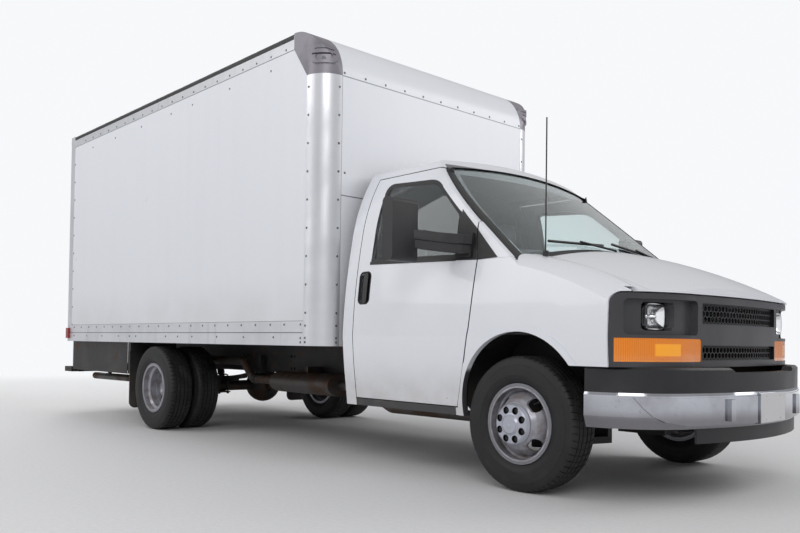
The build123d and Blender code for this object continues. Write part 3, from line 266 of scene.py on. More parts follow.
class Stock:
    """Bar, sheet and turned stock worked into one mesh, of rings of points skinned over and closed."""

    def __init__(self):
        self.points, self.faces = [], []

    def loft(self, rings, closed=False):
        start, count = len(self.points), len(rings[0])
        for ring in rings:
            self.points += [tuple(point) for point in ring]
        pairs = [(i, i + 1) for i in range(len(rings) - 1)] + ([(len(rings) - 1, 0)] if closed else [])
        for a, b in pairs:
            for i in range(count):
                j = (i + 1) % count
                corners = (a * count + i, a * count + j, b * count + j, b * count + i)
                self.faces.append(tuple(start + corner for corner in corners))
        if not closed:
            self.faces.append(tuple(start + i for i in reversed(range(count))))
            self.faces.append(tuple(start + (len(rings) - 1) * count + i for i in range(count)))
        return self

    def turned(self, origin, direction, profile, sides=16):
        """A turned piece from a profile of (radius, height) points; six sides make a hexagon head."""
        axis = Vector(direction).normalized()
        u = axis.orthogonal().normalized()
        v = axis.cross(u)
        spokes = [u * c + v * s for c, s in circle(sides)]
        return self.loft([[Vector(origin) + axis * h + spoke * r for spoke in spokes] for r, h in profile])

    def slab(self, low, high, edge=0.002):
        """A plate or bar between two corners, with its edges broken."""
        (x0, y0, z0), (x1, y1, z1) = low, high

        def ring(z, inset):
            a, b, c, d, e = x0 + inset, x1 - inset, y0 + inset, y1 - inset, edge
            return [(a + e, c, z), (b - e, c, z), (b, c + e, z), (b, d - e, z),
                    (b - e, d, z), (a + e, d, z), (a, d - e, z), (a, c + e, z)]

        return self.loft([ring(z0, edge), ring(z0 + edge, 0), ring(z1 - edge, 0), ring(z1, edge)])

    def sweep(self, path, section, facing=None, closed=False):
        """A section of (across, out) points run along a path. Out is facing's vector, or is carried on."""
        path = [Vector(point) for point in path]
        shapes = section if isinstance(section[0], list) else [section] * len(path)
        last = len(path) - 1
        out = None
        rings = []
        for i, point in enumerate(path):
            before = path[i - 1] if i > 0 or closed else point
            after = path[(i + 1) % len(path)] if i < last or closed else point
            along = (after - before).normalized()
            out = Vector(facing[i]) if facing else out or along.orthogonal()
            side = along.cross(out).normalized()
            out = side.cross(along)
            rings.append([point + side * a + out * b for a, b in shapes[i]])
        return self.loft(rings, closed)

    def sheet(self, front, back):
        """A thin plate between two grids of points."""
        start, rows, columns = len(self.points), len(front), len(front[0])
        self.points += [tuple(point) for grid in (front, back) for row in grid for point in row]

        def corner(layer, row, column):
            return start + (layer * rows + row) * columns + column

        for layer in (0, 1):
            for r in range(rows - 1):
                for c in range(columns - 1):
                    places = ((r, c), (r, c + 1), (r + 1, c + 1), (r + 1, c))
                    self.faces.append(tuple(corner(layer, *place) for place in places))
        border = [(0, c) for c in range(columns)] + [(r, columns - 1) for r in range(1, rows)]
        border += [(rows - 1, c) for c in range(columns - 2, -1, -1)]
        border += [(r, 0) for r in range(rows - 2, 0, -1)]
        for here, there in zip(border, border[1:] + border[:1]):
            self.faces.append((corner(0, *here), corner(1, *here), corner(1, *there), corner(0, *there)))
        return self

    def both_sides(self):
        """Adds the same pieces on the truck's other side."""
        count = len(self.points)
        self.points += [(x, -y, z) for x, y, z in self.points]
        self.faces += [tuple(count + i for i in reversed(face)) for face in self.faces]
        return self

    def mesh(self, name, crease):
        made = bpy.data.meshes.new(name)
        made.from_pydata(self.points, [], self.faces)
        work = bmesh.new()
        work.from_mesh(made)
        bmesh.ops.recalc_face_normals(work, faces=work.faces)
        work.to_mesh(made)
        work.free()
        made.polygons.foreach_set("use_smooth", [True] * len(made.polygons))
        made.set_sharp_from_angle(angle=math.radians(crease))
        return made


def fit(name, shape, finish, body, replaced=(), crease=35):
    """Finishes a piece, which comes as stock or as a mesh, and puts it on the body that carries it."""
    mesh = shape.mesh(name, crease) if isinstance(shape, Stock) else shape
    piece = bpy.data.objects.new(name, mesh)
    mesh.materials.clear()
    mesh.materials.append(finish.material)
    bpy.context.scene.collection.objects.link(piece)
    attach(piece, body)
    if replaced:
        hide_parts(*replaced)
    return piece


def round_bar(radius):
    return [(radius * c, radius * s) for c, s in circle(8)]


dress(chassis, "frame_rails", "frame_crossmembers", "floor_sills", "rear_skirts", "rear_step_bumper")
bolt_head = [(0.014, 0.0), (0.014, 0.003), (0.0115, 0.0032), (0.0115, 0.010), (0.009, 0.0115),
             (0.001, 0.0118)]
frame_half = 0.434
frame_bolts = Stock()
for x, z in [(0.72, 0.48)] + [(x, 0.62) for x in (-1.90, -2.90, -3.65, -4.50, -5.30, -6.005)]:
    for bolt_z in (z - 0.05, z + 0.05):
        for bolt_x in (x - 0.025, x + 0.025):
            frame_bolts.turned(at(bolt_x, -frame_half, bolt_z), (0, -1, 0), bolt_head, 6)
fit("frame_bolts", frame_bolts.both_sides(), chassis, "truck")

# Springs and axles: leaf packs held to the rear axle by bent U-bolts, wishbones with coil springs in front,
# and dampers. Forged and cast iron with no paint left, brown with surface rust and grey with road dirt.
iron = Finish("cast_iron")
iron_rust = iron.patches(8.0, 6.0, 0.40, 0.70)
iron.tone(iron_rust, (0.040, 0.038, 0.036), (0.080, 0.045, 0.028), metallic=0.4, roughness=0.6)
iron.grain(150.0, 4.0, 0.0006, 0.5)
dress(iron, "rear_axle", "knuckle_left", "knuckle_right", "engine_block", "propshaft")
dress(chassis, "leaf_springs", "front_suspension")
coil_radius, coil_wire, coil_turns, coil_steps = 0.069, 0.0075, 5.5, 110
coil_y, coil_foot, coil_height = -0.51, 0.284, 0.205
coil = []
for i in range(coil_steps + 1):
    angle = i / coil_steps * coil_turns * math.tau
    x, y = coil_radius * math.cos(angle), coil_radius * math.sin(angle)
    coil.append(at(x, coil_y + y, coil_foot + i / coil_steps * coil_height))
coils = Stock().sweep(coil, round_bar(coil_wire)).both_sides()
fit("coil_springs", coils, chassis, "truck")
fixings = Stock()
spring_y = -0.4755
leg = [(0.045, 0.300), (0.045, 0.460), (0.038, 0.476), (0.022, 0.482)]
for x in (rear_axle - 0.065, rear_axle + 0.065):
    bend = [(x, spring_y - y, z) for y, z in leg] + [(x, spring_y + y, z) for y, z in reversed(leg)]
    fixings.sweep(bend, round_bar(0.007))
    for y in (spring_y - 0.045, spring_y + 0.045):
        fixings.turned((x, y, 0.311), (0, 0, -1), [(0.012, 0.0), (0.012, 0.010), (0.008, 0.012)], 6)
fixings.slab((rear_axle - 0.09, spring_y - 0.06, 0.311), (rear_axle + 0.09, spring_y + 0.06, 0.323))
damper = [(0.012, 0.0), (0.012, 0.03), (0.028, 0.035), (0.028, 0.19), (0.034, 0.195), (0.034, 0.36),
          (0.012, 0.365), (0.012, 0.39)]
fixings.turned((rear_axle - 0.10, -0.37, 0.30), (-0.35, 0.0, 0.94), damper, 14)
fit("spring_fixings", fixings.both_sides(), iron, "truck")

# Exhaust: aluminised steel pipe bent round the axle and a pressed muffler, browned by heat and road salt. It
# hangs from the frame, and its joints are drawn up with band clamps.
pipework = Finish("exhaust_steel")
heat = pipework.patches(6.0, 6.0, 0.40, 0.65)
pipework.tone(heat, (0.070, 0.064, 0.060), (0.070, 0.040, 0.026), metallic=0.5)
pipework.set(roughness=heat * 0.25 + 0.40)
pipework.grain(90.0, 4.0, 0.0004, 0.4)
dress(pipework, "exhaust")
clamp = [(0.0365, -0.012), (0.041, -0.011), (0.041, 0.011), (0.0365, 0.012)]
clamps = Stock()
for x in (-3.0, -3.25, -1.95):
    clamps.turned(at(x, -0.574, 0.47), (1, 0, 0), clamp, 20)
fit("exhaust_clamps", clamps, pipework, "truck")

# Fuel tank: a pressed and seam-welded steel tank in chassis black, slung under the left rail in two steel
# straps that follow its rounded corners.
dress(chassis, "fuel_tank")
tank_low, tank_high = (0.459, 0.400), (0.859, 0.690)
tank_corner = 0.060


def strap_ring(x, proud):
    """A rounded loop round the tank's section."""
    loop = []
    reach = tank_corner + proud
    for quarter, (left, top) in enumerate(((1, 1), (-1, 1), (-1, -1), (1, -1))):
        y = (tank_high if left > 0 else tank_low)[0] - left * tank_corner
        z = (tank_high if top > 0 else tank_low)[1] - top * tank_corner
        for i in range(5):
            a = (quarter + i / 4) * math.pi / 2
            loop.append(at(x, y + reach * math.cos(a), z + reach * math.sin(a)))
    return loop


strap_section = [(-0.02, -0.001), (-0.02, 0.003), (0.02, 0.003), (0.02, -0.001)]
straps = Stock()
for x in (-2.60, -2.02):
    straps.loft([strap_ring(x + across, proud) for across, proud in strap_section], closed=True)
fit("tank_straps", straps, iron, "truck")

# Wheels: pressed steel discs welded into rolled rims and painted silver. The hub stays bright, the disc is
# brown with brake dust, and the nuts sit in wells of the front hub's cover that are painted dark as shade.
# Each has a rubber valve.
nut_circle, nut_count = 0.08255, 8


def wheel_finish(name, axle, covered):
    paint = Finish(name)
    x, z = paint.axis("X") - axle, paint.axis("Z") - hub_height
    radius = (x * x + z * z).root()
    dust = paint.patches(16.0, 6.0, 0.36, 0.68)
    disc = paint.mask(radius, 0.112, 0.124) * (1 - paint.mask(radius, 0.200, 0.208))
    colour = paint.blend((dust * 0.55 + 0.25) * disc, (0.46, 0.475, 0.54), (0.210, 0.175, 0.160))
    lip = paint.mask(radius, 0.203, 0.206) * paint.mask(radius, 0.2195, 0.2185)
    colour = paint.blend(lip * 0.8, colour, (0.150, 0.145, 0.150))
    if covered:
        turn = z.work("ARCTAN2", x) * (nut_count / math.tau)
        aside = (turn.work("FRACT") - 0.5) * (math.tau / nut_count) * radius
        along = radius - nut_circle
        # The nut wells are painted near black: painted shade in the recesses.
        nut_well_shade = 1 - paint.mask((aside * aside + along * along).root(), 0.0195, 0.0210)
        colour = paint.blend(nut_well_shade, colour, (0.012, 0.012, 0.014))
    paint.set(base_color=colour, metallic=0.45, roughness=dust * disc * 0.25 + 0.30)
    paint.grain(180.0, 2.0, 0.0002, 0.2)
    return paint


front_wheel = wheel_finish("front_wheel_paint", front_axle, True)
rear_wheel = wheel_finish("rear_wheel_paint", rear_axle, False)
dress(front_wheel, "rim_front_left", "rim_front_right")
dress(rear_wheel, "rims_rear_left", "rims_rear_right")
rubber = Finish("tyre_rubber")
powder = rubber.patches(9.0, 6.0, 0.40, 0.72)
rubber.tone(powder, (0.008, 0.008, 0.009), (0.020, 0.020, 0.021), roughness=powder * 0.15 + 0.58)
rubber.grain(240.0, 3.0, 0.0004, 0.4)
valve = [(0.0065, 0.0), (0.0065, 0.010), (0.0045, 0.013), (0.0045, 0.030), (0.0055, 0.031), (0.0055, 0.038),
         (0.003, 0.040)]
wheels = [  # tag, side, axle, tyres' middles, where the valve comes through
    ("front_left", 1, front_axle, (0.857,), 0.925),
    ("front_right", -1, front_axle, (0.857,), 0.925),
    ("rear_left", 1, rear_axle, (0.793, 1.053), 1.085),
    ("rear_right", -1, rear_axle, (0.793, 1.053), 1.085),
]
for tag, side, axle, middles, valve_y in wheels:
    stem_foot = (axle + 0.125, side * valve_y, hub_height + 0.125)
    stem = Stock().turned(stem_foot, (-0.3, side, -0.3), valve, 10)
    fit(f"valve_{tag}", stem, rubber, f"wheel_{tag}")

# Tyres: moulded rubber with four grooves round the tread, slanted cross grooves between its blocks, a rib
# that guards the rim, and plain side walls. They keep the form of the plain tyres that they stand for.
tread_grooves = (0.052, 0.019)
groove_half, groove_foot, groove_depth = 0.0045, 0.0033, 0.008
groove_cut = [(groove_half, 0.0), (groove_foot, groove_depth), (-groove_foot, groove_depth),
              (-groove_half, 0.0)]
wall = [(0.0865, 0.2043), (0.0865, 0.2220), (0.0920, 0.2290), (0.0935, 0.2330), (0.0960, 0.2345),
        (0.1045, 0.2500), (0.1080, 0.2600), (0.1085, 0.2640), (0.1105, 0.2655), (0.1112, 0.2850),
        (0.1115, 0.3000), (0.1098, 0.3200), (0.1100, 0.3230), (0.1080, 0.3245), (0.1040, 0.3450),
        (0.0985, 0.3575), (0.0920, 0.3648), (0.0840, 0.3690)]
inside = [(0.0705, 0.2043), (0.0705, 0.2280), (0.0850, 0.2560), (0.0970, 0.2900), (0.0940, 0.3200),
          (0.0840, 0.3460)]
tread = [(0.0760, 0.3713)]
for middle in tread_grooves:
    tread += [(middle + place, hub_height - drop) for place, drop in groove_cut]
half = wall + tread
tyre_profile = half + [(-y, r) for y, r in reversed(half)] + [(-y, r) for y, r in inside] + inside[::-1]
block_count = 62
block_marks = [(0.0, 0), (0.86, 0), (0.885, 1), (0.975, 1)]  # share of a block's pitch, 1 in the cross groove
slant, tread_half = 0.55, 0.095
shoulder_radius, crown_radius = 0.3645, 0.3665


def cross_groove(y, r):
    """How deep the cross grooves cut at a point of the profile: most at the outer blocks."""
    if abs(y) >= tread_half or r <= shoulder_radius:
        return 0.0
    if r <= crown_radius:
        return 0.0040
    return 0.0065 if abs(y) > 0.054 else 0.0035


def tyre_skin(stock, axle, middle):
    rings = []
    for y, r in tyre_profile:
        ring = []
        lean = slant * (min(abs(y), tread_half) if r > 0.30 else tread_half)
        for i in range(block_count):
            for share, low in block_marks:
                reach = r - cross_groove(y, r) * low
                angle = (i + share) * math.tau / block_count + lean
                x, z = reach * math.cos(angle), reach * math.sin(angle)
                ring.append((axle + x, middle + y, hub_height + z))
        rings.append(ring)
    return stock.loft(rings, closed=True)


for tag, side, axle, middles, valve_y in wheels:
    node = f"tyre_{tag}" if len(middles) == 1 else f"tyres_{tag}"
    skin = Stock()
    for middle in middles:
        tyre_skin(skin, axle, side * middle)
    fit(f"treaded_{node}", skin, rubber, f"wheel_{tag}", (node,), crease=28)

# Mud flaps: flat rubber sheets bolted behind the rear wheels under a steel bar, greyed and splashed with
# dried mud. A black sheet closes the gap between each skirt and its flap.
flap = Finish("flap_rubber")
splash = flap.fade("Z", 0.75, 0.15) * flap.noise(6.0, 6.0)
flap.tone(splash, (0.018, 0.018, 0.019), (0.110, 0.095, 0.080), roughness=splash * 0.3 + 0.50)
flap.grain(90.0, 3.0, 0.0005, 0.4)
dress(flap, "mudflaps", "wheel_liners")
flap_bars = Stock()
flap_bars.slab(at(-4.609, -1.12, 0.655), at(-4.603, -0.67, 0.685), 0.001)
for y in (-1.05, -0.90, -0.75):
    flap_bars.turned(at(-4.609, y, 0.670), (-1, 0, 0), bolt_head[2:], 6)
fit("flap_bars", flap_bars.both_sides(), iron, "truck")
skirt_returns = Stock()
skirt_returns.slab(at(-4.703, 1.090, 0.476), at(-4.615, 1.096, 0.772), 0.001)
fit("skirt_returns", skirt_returns.both_sides(), chassis, "truck")

# Cab floor and back wall: pressed steel panels, spot-welded along their flanges and undercoated below. Inside
# they are covered with a grey rubber mat, scuffed where feet rest.
mat = Finish("floor_mat")
scuffed = mat.patches(7.0, 6.0, 0.45, 0.72)
mat.tone(scuffed, (0.055, 0.055, 0.058), (0.090, 0.085, 0.078), roughness=scuffed * 0.15 + 0.6)
mat.grain(400.0, 2.0, 0.0005, 0.5)
dress(mat, "cab_floor", "cab_back_wall")

# Dashboard and steering wheel: a grained grey vinyl moulding with an instrument hood and a centre panel,
# screwed across the cab, and a polyurethane rim over a steel core with two spokes.
trim = Finish("interior_trim")
worn = trim.patches(5.0, 5.0, 0.45, 0.75)
trim.tone(worn, (0.070, 0.073, 0.080), (0.110, 0.112, 0.118), roughness=worn * 0.12 + 0.48)
trim.grain(500.0, 2.0, 0.0004, 0.4)
dress(trim, "dashboard", "steering_wheel")

# Seats: two bucket seats bolted down on steel pedestals. Foam cushions in grey tweed are stretched over their
# frames and sewn at the edges, so that their middles crown and their corners stay tight.
tweed = Finish("seat_cloth")
weave_u = tweed.waves("Y", 160.0)
weave_v = tweed.waves("Z", 160.0)
fleck = tweed.patches(900.0, 2.0, 0.40, 0.62)
soiled = tweed.patches(6.0, 5.0, 0.45, 0.75)
tweed_colour = tweed.blend(fleck, (0.105, 0.112, 0.130), (0.190, 0.195, 0.210))
tweed.tone(soiled * 0.4, tweed_colour, (0.095, 0.085, 0.075), roughness=0.9)
tweed.set(sheen_weight=0.25, sheen_roughness=0.5)
tweed.bump(weave_u * 0.5 + weave_v * 0.5 + fleck * 0.4, 0.0006, 0.6)
seat_middle, blow_frames = 0.540, 20


def still(draft):
    """The mesh of a draft as its modifiers leave it."""
    return bpy.data.meshes.new_from_object(draft.evaluated_get(bpy.context.evaluated_depsgraph_get()))


def puffed(name, stock, swell):
    """A foam block blown out into its cover by a cloth's pressure, with its twin on the other side."""
    draft = bpy.data.objects.new(name, stock.mesh(name, 35))
    bpy.context.scene.collection.objects.link(draft)
    remesh = draft.modifiers.new("foam", "REMESH")
    remesh.mode = "VOXEL"
    remesh.voxel_size = 0.010
    blank = still(draft)
    draft.modifiers.remove(remesh)
    draft.data = blank
    start = [vertex.co.copy() for vertex in blank.vertices]
    cover = draft.modifiers.new("cover", "CLOTH")
    cover.settings.use_pressure = True
    cover.settings.uniform_pressure_force = 4.0
    cover.settings.effector_weights.gravity = 0.0
    cover.point_cache.frame_end = blow_frames
    for frame_number in range(1, blow_frames + 1):
        bpy.context.scene.frame_set(frame_number)
    swollen = still(draft)
    draft.modifiers.remove(cover)
    for vertex, before, after in zip(blank.vertices, start, swollen.vertices):
        move = after.co - before
        vertex.co = before + move * min(1.0, swell / max(move.length, 1e-6))
    bpy.context.scene.frame_set(1)
    finer = draft.modifiers.new("finer", "SUBSURF")
    finer.levels = 1
    sewn = still(draft)
    bpy.data.objects.remove(draft)
    work = bmesh.new()
    work.from_mesh(sewn)
    every_way = {"use_axis_x": True, "use_axis_y": True, "use_axis_z": True}
    bmesh.ops.smooth_vert(work, verts=work.verts, factor=0.5, **every_way)
    twin = bmesh.ops.duplicate(work, geom=work.verts[:] + work.edges[:] + work.faces[:])["geom"]
    for vertex in [part for part in twin if isinstance(part, bmesh.types.BMVert)]:
        vertex.co.y = -vertex.co.y
    bmesh.ops.reverse_faces(work, faces=[part for part in twin if isinstance(part, bmesh.types.BMFace)])
    work.to_mesh(sewn)
    work.free()
    sewn.name = name
    sewn.polygons.foreach_set("use_smooth", [True] * len(sewn.polygons))
    return sewn


def squared(sides, *powers):
    """A circle's steps pushed out towards the corners of a square: lower powers are squarer."""
    return [[math.copysign(abs(part) ** power, part) for part, power in zip(step, powers)]
            for step in circle(sides)]


def cushion(middle, length_way, rows):
    """Foam from rows of (along, half width, half thickness), with rounded corners all round."""
    stock, corners = Stock(), squared(24, 0.35, 0.45)
    across = Vector((0, 1, 0))
    thick = Vector(length_way).cross(across).normalized()
    rings = []
    for along, half_width, half_thick in rows:
        spot = Vector(middle) + Vector(length_way) * along
        rings.append([spot + across * (u * half_width) + thick * (v * half_thick) for u, v in corners])
    return stock.loft(rings)


base_cushion = cushion(at(-1.075, -seat_middle, 0.880), (1, 0, 0), [
    (-0.235, 0.150, 0.020), (-0.225, 0.185, 0.036), (-0.180, 0.192, 0.040), (0.0, 0.190, 0.036),
    (0.190, 0.186, 0.040), (0.225, 0.178, 0.034), (0.237, 0.150, 0.016)])
back_way = Vector((-0.080, 0.0, 0.660)).normalized()
back_cushion = cushion(at(-1.312, -seat_middle, 1.270), back_way, [
    (-0.315, 0.140, 0.020), (-0.300, 0.184, 0.040), (-0.150, 0.190, 0.044), (0.050, 0.186, 0.038),
    (0.220, 0.172, 0.034), (0.300, 0.150, 0.028), (0.315, 0.110, 0.012)])
head_cushion = cushion(at(-1.372, -seat_middle, 1.690), back_way, [
    (-0.078, 0.070, 0.018), (-0.068, 0.100, 0.032), (0.0, 0.108, 0.036), (0.060, 0.096, 0.030),
    (0.074, 0.066, 0.014)])
for name, block, swell in (("seat_cushions", base_cushion, 0.022), ("seat_backs", back_cushion, 0.022),
                           ("seat_headrests", head_cushion, 0.012)):
    piece = fit(name, puffed(name, block, swell), tweed, "truck", ("seats",))
seat_hardware = Stock()
seat_hardware.slab(at(-1.250, -0.690, 0.600), at(-0.900, -0.390, 0.820), 0.012)
seat_hardware.slab(at(-1.300, -0.720, 0.815), at(-0.860, -0.360, 0.842), 0.006)
for y in (-0.600, -0.480):
    foot = Vector(at(-1.350, y, 1.560))
    seat_hardware.turned(foot, back_way, [(0.006, 0.0), (0.006, 0.10)], 10)
fit("seat_pedestals", seat_hardware.both_sides(), trim, "truck", ("seats",))

# Cab shell: pressed steel panels welded together and sprayed white under clear coat, with fine orange peel,
# road film low on the sides and stone chips round the front wheel. Its inner faces are grey trim, and the
# edges in the door gaps are painted dark as shade.
cab_paint = Finish("cab_paint")
peel = cab_paint.noise(260.0, 1.0)
film = cab_paint.fade("Z", 0.75, 0.40) * cab_paint.noise(7.0, 6.0)
dull_patches = cab_paint.patches(1.7, 5.0, 0.48, 0.70)
shade = cab_paint.blend(dull_patches * 0.5, (0.770, 0.785, 0.830), (0.740, 0.755, 0.800))
shade = cab_paint.blend(film * 0.8, shade, (0.420, 0.395, 0.370))
chips = cab_paint.patches(55.0, 2.0, 0.745, 0.765) * cab_paint.fade("Z", 0.80, 0.45)
shade = cab_paint.blend(chips, shade, (0.060, 0.050, 0.045))
face_y = cab_paint.axis("Y", "Normal")
face_z = cab_paint.axis("Z", "Normal")
facing_out = face_y * cab_paint.axis("Y") + face_z * (cab_paint.axis("Z") - 1.2) * 0.8
behind_wheel = cab_paint.fade("X", front_axle - 0.45, front_axle - 0.50)
lining = cab_paint.mask(facing_out, -0.02, -0.06) * behind_wheel
rise = cab_paint.axis("Z") - 1.3
inboard = 0.923 - rise * 0.064 - rise * rise * 0.376 - abs(cab_paint.axis("Y"))  # inside the leaning wall
upper_cab = cab_paint.mask(rise, 0.100, 0.105) * cab_paint.mask(rise, 0.665, 0.660)
lining = lining.above(cab_paint.mask(inboard, 0.0, 0.004) * upper_cab)
face_x = abs(cab_paint.axis("X", "Normal"))
door_range = cab_paint.fade("X", front_axle - 1.43, front_axle - 1.42)
door_range = door_range * cab_paint.fade("X", front_axle - 0.29, front_axle - 0.30)
# Faces at the door edges that look along the truck are painted dark: painted shade in the door gaps.
door_gap_shade = cab_paint.mask(face_x, 0.85, 0.90) * door_range * cab_paint.mask(abs(cab_paint.axis("Y")), 0.70, 0.74)
pocket_x, pocket_z, pocket_half, pocket_tall, pocket_corner = front_axle - 1.302, 1.165, 0.055, 0.105, 0.034
past_x = (abs(cab_paint.axis("X") - pocket_x) - (pocket_half - pocket_corner)).above(0.0)
past_z = (abs(cab_paint.axis("Z") - pocket_z) - (pocket_tall - pocket_corner)).above(0.0)
pocket = cab_paint.mask((past_x * past_x + past_z * past_z).root(), pocket_corner, pocket_corner - 0.001)
shade = cab_paint.blend(lining, shade, (0.10, 0.10, 0.11))
shade = cab_paint.blend(door_gap_shade, shade, (0.06, 0.06, 0.065))
gloss = film * 0.3 + pocket * 0.1 + 0.28
cab_paint.tone(pocket, shade, (0.016, 0.016, 0.018), roughness=gloss)
cab_paint.set(coat_weight=(1 - pocket) * 0.6, coat_roughness=0.05)
cab_paint.bump(peel, 0.0002, 0.12)
dress(cab_paint, "cab_roof", "cab_side_frames", "front_fenders", "hood", "door_left", "door_right")

# Windscreen and door windows: laminated and toughened glass, faintly green, bedded in black rubber. The
# windscreen has a black printed border under its edge.
glazing = Finish("cab_glass")
smear = glazing.patches(3.0, 6.0, 0.50, 0.75)
glazing.tone(smear, (0.80, 0.88, 0.88), (0.74, 0.82, 0.83), roughness=smear * 0.03 + 0.01)
glazing.set(transmission_weight=1.0, ior=1.45)
dress(glazing, "windshield", "door_glass_left", "door_glass_right")
seal_rubber = Finish("seal_rubber")
perished = seal_rubber.patches(14.0, 5.0, 0.45, 0.75)
seal_rubber.tone(perished, (0.014, 0.014, 0.015), (0.034, 0.034, 0.036))
seal_rubber.set(roughness=perished * 0.2 + 0.45)
seal_rubber.grain(300.0, 2.0, 0.0002, 0.3)


def arc_through(low, middle, high):
    """Centre and radius of the circle through three (y, z) points."""
    (a, b), (c, d), (e, f) = low, middle, high
    bend = 2 * (a * (d - f) + c * (f - b) + e * (b - d))
    y = ((a * a + b * b) * (d - f) + (c * c + d * d) * (f - b) + (e * e + f * f) * (b - d)) / bend
    z = ((a * a + b * b) * (e - c) + (c * c + d * d) * (a - e) + (e * e + f * f) * (c - a)) / bend
    return y, z, math.hypot(a - y, b - z)


waist = 1.484
lower_side = arc_through((0.998, 0.850), (0.9755, 1.168), (0.929, waist))
upper_side = arc_through((0.929, waist), (0.8695, 1.721), (0.763, 1.941))


def door_skin(z):
    """How far out the cab's side stands at a height."""
    y, centre, radius = lower_side if z < waist else upper_side
    return y + math.sqrt(radius * radius - (z - centre) ** 2)


def rounded(outline, radii):
    """An outline with its corners eased; gives each corner's own points too."""
    path, corners = [], []
    for i, (corner, reach) in enumerate(zip(outline, radii)):
        here, back, on = Vector(corner), Vector(outline[i - 1]), Vector(outline[(i + 1) % len(outline)])
        start = here + (back - here).normalized() * reach
        end = here + (on - here).normalized() * reach
        bend = [start.lerp(here, t / 8).lerp(here.lerp(end, t / 8), t / 8) for t in range(9)]
        path += bend
        corners.append([here] + bend)
    return path, corners


window_outline = [(-1.262, 1.338), (-0.480, 1.310), (-0.480, 1.585), (-0.775, 1.840), (-1.265, 1.872)]
window_path, window_corners = rounded(window_outline, (0.015, 0.004, 0.015, 0.075, 0.070))
seal_section = [(0.004, -0.012), (0.004, -0.001), (0.002, 0.0005), (-0.004, -0.001), (-0.024, -0.0055),
                (-0.026, -0.0098)]
hands = ((1, "left"), (-1, "right"))


def on_side(point, side, depth=0.0):
    x, z = point
    return at(x, side * (door_skin(z) - depth), z)


def handed(section, side):
    """A section for the right side, turned over for the left."""
    return section if side < 0 else [(-across, out) for across, out in section]


for side, hand in hands:
    path = [on_side(point, side) for point in window_path]
    bead = Stock().sweep(path, handed(seal_section, side), [(0, side, 0.25)] * len(path), closed=True)
    fit(f"window_seal_{hand}", bead, seal_rubber, f"door_{hand}")
    gussets = Stock()
    for corner in (window_corners[3], window_corners[4]):
        gussets.loft([[on_side(point, side, depth) for point in corner] for depth in (0.0004, 0.004)])
    fit(f"window_corners_{hand}", gussets, cab_paint, f"door_{hand}")


def pane_edge(name, outward):
    """The edge of a pane's outer face as a loop of points and face normals, anticlockwise from outside."""
    work = bmesh.new()
    work.from_mesh(nodes[name].data)
    bmesh.ops.remove_doubles(work, verts=work.verts, dist=1e-5)
    outer = {face for face in work.faces if face.normal.dot(Vector(outward)) > 0.5}
    follow = {}
    for edge in work.edges:
        inside = [face for face in edge.link_faces if face in outer]
        if len(inside) == 1:
            loop = next(loop for loop in inside[0].loops if loop.edge == edge)
            follow[loop.vert] = (loop.link_loop_next.vert, inside[0].normal.copy())
    here = next(iter(follow))
    points, normals = [], []
    for _ in range(len(follow)):
        there, normal = follow[here]
        if not points or (here.co - points[-1]).length > 0.004:
            points.append(here.co.copy())
            normals.append(normal)
        here = there
    work.free()
    return points, normals


edge_points, edge_normals = pane_edge("windshield", (0.62, 0, 0.78))
borders = []
for i, point in enumerate(edge_points):
    along = (edge_points[(i + 1) % len(edge_points)] - edge_points[i - 1]).normalized()
    width = 0.022 + 0.046 * (1 - abs(along.y)) ** 2
    borders.append([(0.002, -0.004), (0.004, 0.0010), (0.002, 0.0025), (-0.010, 0.0025), (-width, 0.0008),
                    (-width - 0.001, 0.0002)])
screen_border = Stock().sweep(edge_points, borders, edge_normals, closed=True)
fit("windscreen_border", screen_border, seal_rubber, "truck")

# Sail panels: black moulded covers clipped over the mirror's foot, in the corner between the window and the
# windscreen pillar. The door's cut line splits each in two, and a strip runs on along the window's foot.
sail_door = [(-0.4785, 1.296), (-0.3127, 1.289), (-0.3375, 1.476), (-0.4785, 1.606)]
sail_pillar = [(-0.3045, 1.289), (-0.155, 1.294), (-0.316, 1.455), (-0.3292, 1.470)]
belt_strip = [(-1.270, 1.318), (-0.480, 1.293), (-0.480, 1.3105), (-1.270, 1.3385)]
for side, hand in hands:
    door = f"door_{hand}"
    covers = (("door", sail_door, door), ("pillar", sail_pillar, "truck"), ("belt", belt_strip, door))
    for name, outline, body in covers:
        low_rear, low_front, high_front, high_rear = (Vector(corner) for corner in outline)
        grids = ([], [])
        for r in range(7):
            rear_edge, front_edge = low_rear.lerp(high_rear, r / 6), low_front.lerp(high_front, r / 6)
            for grid, proud in zip(grids, (0.0025, -0.001)):
                row = [rear_edge.lerp(front_edge, c / 6) for c in range(7)]
                grid.append([on_side(point, side, -proud) for point in row])
        plate = Stock().sheet(*grids)
        fit(f"sail_{name}_{hand}", plate, seal_rubber, body)

